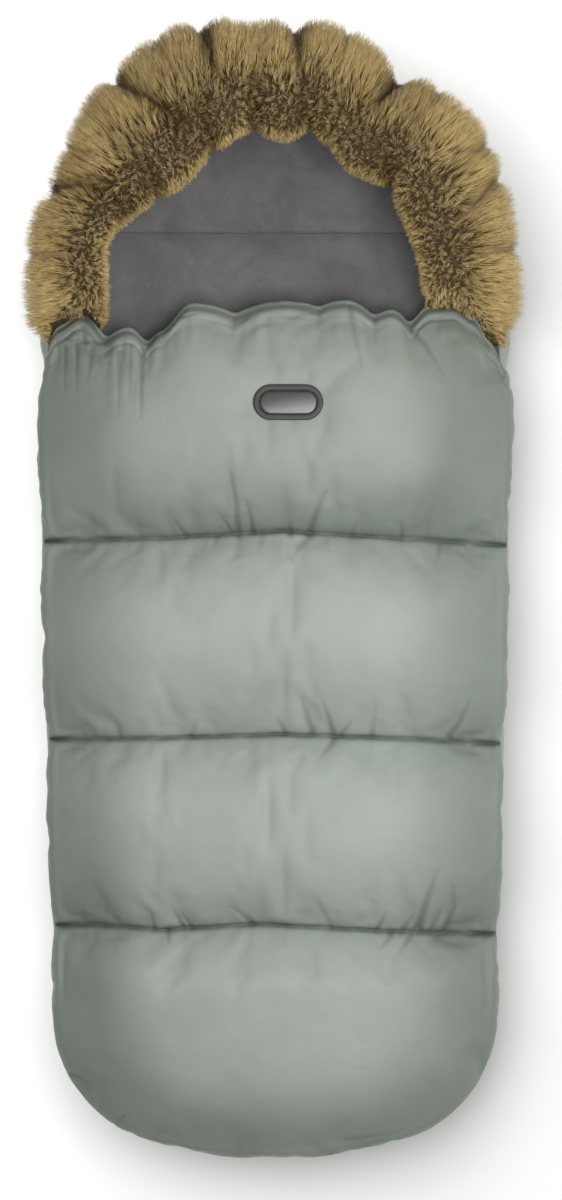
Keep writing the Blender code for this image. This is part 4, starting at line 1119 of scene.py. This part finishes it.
# clumps: how many along the trim, the angle each takes round it, and how many leans there are
clumps_along, clump_turn, clump_kinds = 230, 0.11, 9973
station = np.linspace(0, len(fur_outer) - 1, fur_count)
outer, inner = (np.stack([np.interp(station, range(len(line)), line[:, k]) for k in (0, 1)], -1)
                for line in (fur_outer, fur_inner))
width = np.linalg.norm(outer - inner, axis=1)
out_way = (outer - inner) / width[:, None]
from_end = np.minimum(station, station[-1] - station)
thin = np.sin(np.pi / 2 * np.clip(from_end / 4.5, 0, 1))
outer_over, inner_over = 0.010, 0.0045      # how far the pile stands past its ground
outer = outer - out_way * (outer_over * np.sqrt(thin))[:, None]
inner = inner + out_way * (inner_over * np.sqrt(thin))[:, None]
middle, reach = (outer + inner) / 2, np.linalg.norm(outer - inner, axis=1) / 2
bottom = back_rim(middle[:, 1]) + 0.0015
top = bottom + 0.006 + 0.052 * thin * np.clip(reach / 0.048, 0.7, 1.0)
angle = np.linspace(0, 2 * np.pi, fur_round, endpoint=False)
flat, tall = np.cos(angle), np.sin(angle)
power = 0.85
ring = np.stack([np.sign(flat) * np.abs(flat) ** power, np.sign(tall) * np.abs(tall) ** power], -1)
xy = middle[:, None, :] + out_way[:, None, :] * (reach[:, None] * ring[None, :, 0])[:, :, None]
z = ((top + bottom) / 2)[:, None] + ((top - bottom) / 2)[:, None] * ring[None, :, 1]
roll = np.concatenate([xy, z[:, :, None]], -1)
deep = fold_depth(roll[:, :, 0], roll[:, :, 1], fur_creases, 0.6)
lifted = np.clip((roll[:, :, 2] - bottom[:, None]) / (top - bottom)[:, None], 0, 1)
roll[:, :, 2] -= deep * lifted * thin[:, None]
roll[:, :, :2] -= out_way[:, None, :] * (0.32 * deep * ring[None, :, 0])[:, :, None]
# the trim's ends pass under the corners of the cover
past = np.maximum(roll[:, :, 1] - hem_line(roll[:, :, 0]) - 0.002, 0)
beside = np.maximum(np.abs(roll[:, :, 0]) - 0.2075, 0)
under = np.maximum(edge_z, bottom + 0.005)[:, None] + 3.2 * past + 1.2 * beside
roll[:, :, 2] = np.minimum(roll[:, :, 2], under + 0.0001 * ring[None, :, 1])
verts = np.vstack([roll.reshape(-1, 3), roll[0].mean(0), roll[-1].mean(0)])
grid = np.arange(fur_count * fur_round).reshape(fur_count, fur_round)
after = np.roll(grid, -1, axis=1)
quads = np.stack([grid[:-1], grid[1:], after[1:], after[:-1]], -1).reshape(-1, 4).tolist()
ends = [[grid[0, k], after[0, k], len(verts) - 2] for k in range(fur_round)]
ends += [[after[-1, k], grid[-1, k], len(verts) - 1] for k in range(fur_round)]
fur_ground = new_piece("fur_ground", verts.tolist(), quads + ends)
fur_ground.data.shade_smooth()


def pile(name, first, last, count, seed):
    """Hairs on one stretch of the roll: three-sided, four points long, in small clumps."""
    chance = np.random.default_rng(seed)
    rows = np.arange(round(first * (fur_count - 1)), round(last * (fur_count - 1)))
    near, far = roll[rows], roll[rows + 1]
    across, along = np.roll(near, -1, axis=1) - near, far - near
    area = np.linalg.norm(np.cross(across, along), axis=2)
    turned = (np.arange(fur_round) + 0.5) / fur_round * 2 * np.pi
    area *= (turned < np.pi + 0.6) | (turned > 2 * np.pi - 0.6)
    cells = chance.choice(area.size, count, p=area.ravel() / area.sum())
    u = (rows[cells // fur_round] + chance.uniform(0, 1, count)) / (fur_count - 1)
    a = (cells % fur_round + chance.uniform(0, 1, count)) / fur_round * 2 * np.pi
    a = np.where(a > np.pi * 1.5, a - 2 * np.pi, a)

    def on_roll(u, a):
        row, low = np.modf(np.clip(u * (fur_count - 1), 0, fur_count - 1.001))
        low = low.astype(int)
        turn, left = np.modf((a % (2 * np.pi)) / (2 * np.pi) * fur_round)
        left = left.astype(int) % fur_round
        right = (left + 1) % fur_round
        row, turn = row[:, None], turn[:, None]
        return ((roll[low, left] * (1 - turn) + roll[low, right] * turn) * (1 - row)
                + (roll[low + 1, left] * (1 - turn) + roll[low + 1, right] * turn) * row)

    def unit(value):
        return value / np.maximum(np.linalg.norm(value, axis=1), 1e-9)[:, None]

    root = on_roll(u, a)
    pressed = (root[:, 1] < hem_line(root[:, 0]) + 0.0015) & (np.abs(root[:, 0]) < 0.214)
    round_way = unit(on_roll(u, a + 0.08) - on_roll(u, a - 0.08))
    along_way = unit(on_roll(np.minimum(u + 0.004, 1), a) - on_roll(np.maximum(u - 0.004, 0), a))
    out = unit(np.cross(round_way, along_way))
    heart = on_roll(u, a + np.pi)
    out *= np.sign(((root - heart) * out).sum(1))[:, None]
    # clumps: a cell of the roll shares one lean and one length, and its hairs close up at the tip
    cell_u = np.round(u * clumps_along + 0.35 * np.sin(a * 9))
    cell_a = np.round(a / clump_turn)
    code = (cell_u * 100 + cell_a).astype(int) % clump_kinds
    clump = np.random.default_rng(5).uniform(-1, 1, (clump_kinds, 4))[code]
    # painted shade in the gathers' creases: hairs near a crease get a darker tone, as well as a
    # shorter length
    shadows = [(depth, 1.4 * wide, places) for depth, wide, places in fur_creases]
    dark = np.clip(fold_depth(root[:, 0], root[:, 1], shadows, 0.6) / 0.012, 0, 1)
    comb = smooth_step((a - 1.05 - 0.15 * clump[:, 3]) / 0.9)      # 0 outside, 1 inside
    brim = smooth_step((a - 2.45) / 0.4)
    lay = -(1 - comb) * 1.0 + brim * 0.8
    loose = 0.12 + 0.15 * comb
    lean = (round_way * (lay + loose * clump[:, 0] + 0.07 * chance.normal(size=count))[:, None]
            + along_way * (loose * clump[:, 1] + 0.07 * chance.normal(size=count))[:, None])
    lift = 0.24 + 0.50 * comb * (1 - 0.6 * brim)
    uneven = 1 + (0.08 + 0.14 * comb) * clump[:, 2] + 0.10 * chance.normal(size=count)
    long = (outer_hair - (outer_hair - inner_hair) * comb + 0.0005 * brim) * uneven
    close = np.clip((root[:, 1] - hem_line(root[:, 0])) / 0.020, 0.5, 1)
    long = np.clip(long, 0.004, 0.026) * np.clip(np.minimum(u, 1 - u) / 0.05, 0.35, 1) * close
    long *= 1 - 0.45 * dark
    long, lift = np.where(pressed, 0.0045, long), np.where(pressed, 0.03, lift)
    # a hair has three corners at each of its first three steps, and a tip at the last
    steps, hair_points = np.array([0, 0.36, 0.7, 1.0]), 10
    joints = [root - out * 0.0006]
    for low, high in zip(steps, steps[1:]):
        bend = (low + high) / 2
        way = unit(out * (lift * (1.15 - 1.0 * bend))[:, None] + lean * (0.45 + 0.75 * bend))
        joints.append(joints[-1] + way * (long * (high - low))[:, None])
    joints = np.stack(joints, 1)
    joints[:, :, 2] -= 0.0022 * (steps[None, :] ** 2) * (1 - comb)[:, None]
    # each clump's tips lean towards its middle
    spare_u, spare_a = u - cell_u / clumps_along, a - cell_a * clump_turn
    pull = along_way * (-spare_u * 0.62)[:, None] + round_way * (-spare_a * 0.028)[:, None]
    joints += pull[:, None, :] * (steps ** 1.3)[None, :, None] * (0.25 + 0.4 * comb)[:, None, None]
    thick = chance.uniform(0.00028, 0.00046, count)
    side = unit(np.cross(joints[:, 3] - joints[:, 0], out + 0.01))
    other = unit(np.cross(joints[:, 3] - joints[:, 0], side))
    verts = []
    for k, size in enumerate((1.0, 0.95, 0.7)):
        for corner in range(3):
            spin = corner * 2 * np.pi / 3
            verts.append(joints[:, k] + (side * math.cos(spin) + other * math.sin(spin))
                         * (thick * size * 0.5)[:, None])
    verts.append(joints[:, 3])
    verts = np.stack(verts, 1).reshape(-1, 3)
    faces, corners = [], []
    for k in (0, 1):
        for c in range(3):
            d = (c + 1) % 3
            faces += [(3 * k + c, 3 * k + 3 + c, 3 * k + 3 + d),
                      (3 * k + c, 3 * k + 3 + d, 3 * k + d)]
            corners += [((c, k), (c, k + 1), (c + 1, k + 1)), ((c, k), (c + 1, k + 1), (c + 1, k))]
    for c in range(3):
        faces.append((6 + c, 9, 6 + (c + 1) % 3))
        corners.append(((c, 2), (c + 0.5, 3), (c + 1, 2)))
    faces.append((0, 1, 2))
    corners.append(((0, 0), (1, 0), (2, 0)))
    faces = np.array(faces)[None] + np.arange(count)[:, None, None] * hair_points
    faces = faces.reshape(-1, 3)
    corners = np.array(corners, float) / 3
    across = int(math.ceil(math.sqrt(count)))
    cell = np.stack([np.arange(count) % across, np.arange(count) // across], -1)
    uv = ((corners[None] * 0.8 + 0.1 + cell[:, None, None, :]) / across).reshape(-1, 2)
    mesh = bpy.data.meshes.new(name)
    mesh.vertices.add(len(verts))
    mesh.vertices.foreach_set("co", verts.astype(np.float32).ravel())
    mesh.loops.add(faces.size)
    mesh.loops.foreach_set("vertex_index", faces.astype(np.int32).ravel())
    mesh.polygons.add(len(faces))
    mesh.polygons.foreach_set("loop_start", np.arange(0, faces.size, 3, dtype=np.int32))
    mesh.update(calc_edges=True)
    layer = mesh.uv_layers.new(name="OFBake")
    layer.uv.foreach_set("vector", uv.astype(np.float32).ravel())
    # each hair's tone: random drift and mottle, painted light on the roll's upper crest, painted
    # shade down its outer side and in the creases, darker on the inside and paler at the inner brim
    drift = 0.10 * np.sin(u * 61 + 2 * np.sin(u * 23)) + 0.06 * np.sin(u * 151 + a * 2)
    crest_light_side_shade = 0.16 * bell(a - 1.0, 0.45) - 0.44 * smooth_step((0.6 - a) / 0.8)
    mottle = (0.05 + 0.13 * comb) * clump[:, 3]
    tone = np.clip(0.84 + crest_light_side_shade - 0.19 * comb + 0.36 * brim - 0.85 * dark + drift + mottle
                   + (0.07 + 0.10 * comb) * chance.normal(size=count), 0, 1)
    run = np.tile(np.repeat(steps, (3, 3, 3, 1)), count)
    piece = bpy.data.objects.new(name, mesh)
    put_marks(piece, tip=run, tone=np.repeat(tone, hair_points))
    bpy.context.scene.collection.objects.link(piece)
    piece.data.shade_smooth()
    return piece


# faux fur pile: modacrylic fibres, dark brown at the root and pale straw at the tip, each with
# a soft sheen; the ground below it is the dark undercoat between the fibres
pile_fibre, shader = new_material("modacrylic_pile", "#6d5931", 0.5)
tip = add(pile_fibre, "Attribute", attribute_name="tip").outputs["Fac"]
tone = add(pile_fibre, "Attribute", attribute_name="tone").outputs["Fac"]
dark_ramp = add(pile_fibre, "ValToRGB", {"Fac": tip})
pale_ramp = add(pile_fibre, "ValToRGB", {"Fac": tip})
for ramp, stops in ((dark_ramp, ((0.0, "#150e05"), (0.5, "#442e0d"), (1.0, "#815d1e"))),
                    (pale_ramp, ((0.0, "#694d1f"), (0.45, "#d6b76e"), (1.0, "#fae8b7")))):
    keys = ramp.color_ramp.elements
    keys[0].position, keys[0].color = stops[0][0], colour(stops[0][1])
    keys[1].position, keys[1].color = stops[2][0], colour(stops[2][1])
    keys.new(stops[1][0]).color = colour(stops[1][1])
# the tone mark mixes the dark and pale ramps, so it carries painted light and shade as well as the
# pile's own mottling
blend = add(pile_fibre, "Mix", {0: tone, 6: dark_ramp.outputs[0], 7: pale_ramp.outputs[0]},
            data_type="RGBA")
feed(shader, Base_Color=blend.outputs[2])
undercoat, shader = new_material("knitted_ground", "#3a2a14", 0.9)
place = add(undercoat, "TexCoord").outputs["Object"]
clumps = add(undercoat, "TexNoise", {"Vector": place, "Scale": 420.0, "Detail": 4.0})
shade = add(undercoat, "Mix", {0: clumps.outputs["Fac"], 6: colour("#1c130a"),
                               7: colour("#5a4526")}, data_type="RGBA")
bump = add(undercoat, "Bump", {"Height": clumps.outputs["Fac"], "Strength": 0.8, "Distance": 0.001})
feed(shader, Base_Color=shade.outputs[2], Normal=bump.outputs[0])
finish(fur_ground, undercoat)
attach(fur_ground, "back")
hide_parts("fur_trim")
for k in range(6):
    piece = pile("fur_pile_%d" % (k + 1), k / 6, (k + 1) / 6, 12400, 11 + k)
    finish(piece, pile_fibre)
    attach(piece, "back")


# Studio: a white floor, a large soft light overhead and one from the right on the footmuff, a
# third on the floor alone, and white walls of light all round.
bpy.ops.mesh.primitive_plane_add(size=12, location=(0, 0, -0.0004))
floor = bpy.context.object
floor.name = "studio_floor"
white_floor, shader = new_material("matt_white_floor", "#f4f4f3", 0.9)
finish(floor, white_floor)
floor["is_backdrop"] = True
world = bpy.data.worlds.new("studio_walls")
bpy.context.scene.world = world
world.use_nodes = True
world.node_tree.nodes["Background"].inputs["Color"].default_value = (1, 1, 1, 1)
world.node_tree.nodes["Background"].inputs["Strength"].default_value = 0.38


def lit_pieces(name, lamp, state):
    """The lamp lights only the floor, or everything but the floor."""
    group = bpy.data.collections.new(name)
    group.objects.link(floor)
    group.collection_objects[0].light_linking.link_state = state
    lamp.light_linking.receiver_collection = group


for name, place, power, size, state in (("softbox_key", (0.24, 0.02, 1.2), 11.3, 0.7, "EXCLUDE"),
                                        ("softbox_side", (1.3, 0.8, 1.5), 4.5, 1.2, "EXCLUDE"),
                                        ("softbox_floor", (-0.5, 0.7, 2.4), 90, 3.0, "INCLUDE")):
    bpy.ops.object.light_add(type="AREA", location=place)
    lamp = bpy.context.object
    lamp.name = name
    lamp.data.energy = power
    lamp.data.size = size
    lamp.rotation_mode = "QUATERNION"
    lamp.rotation_quaternion = Vector(place).to_track_quat("Z", "Y")
    lit_pieces(name + "_lights", lamp, state)
bpy.context.scene.view_settings.view_transform = "Standard"

low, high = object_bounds()
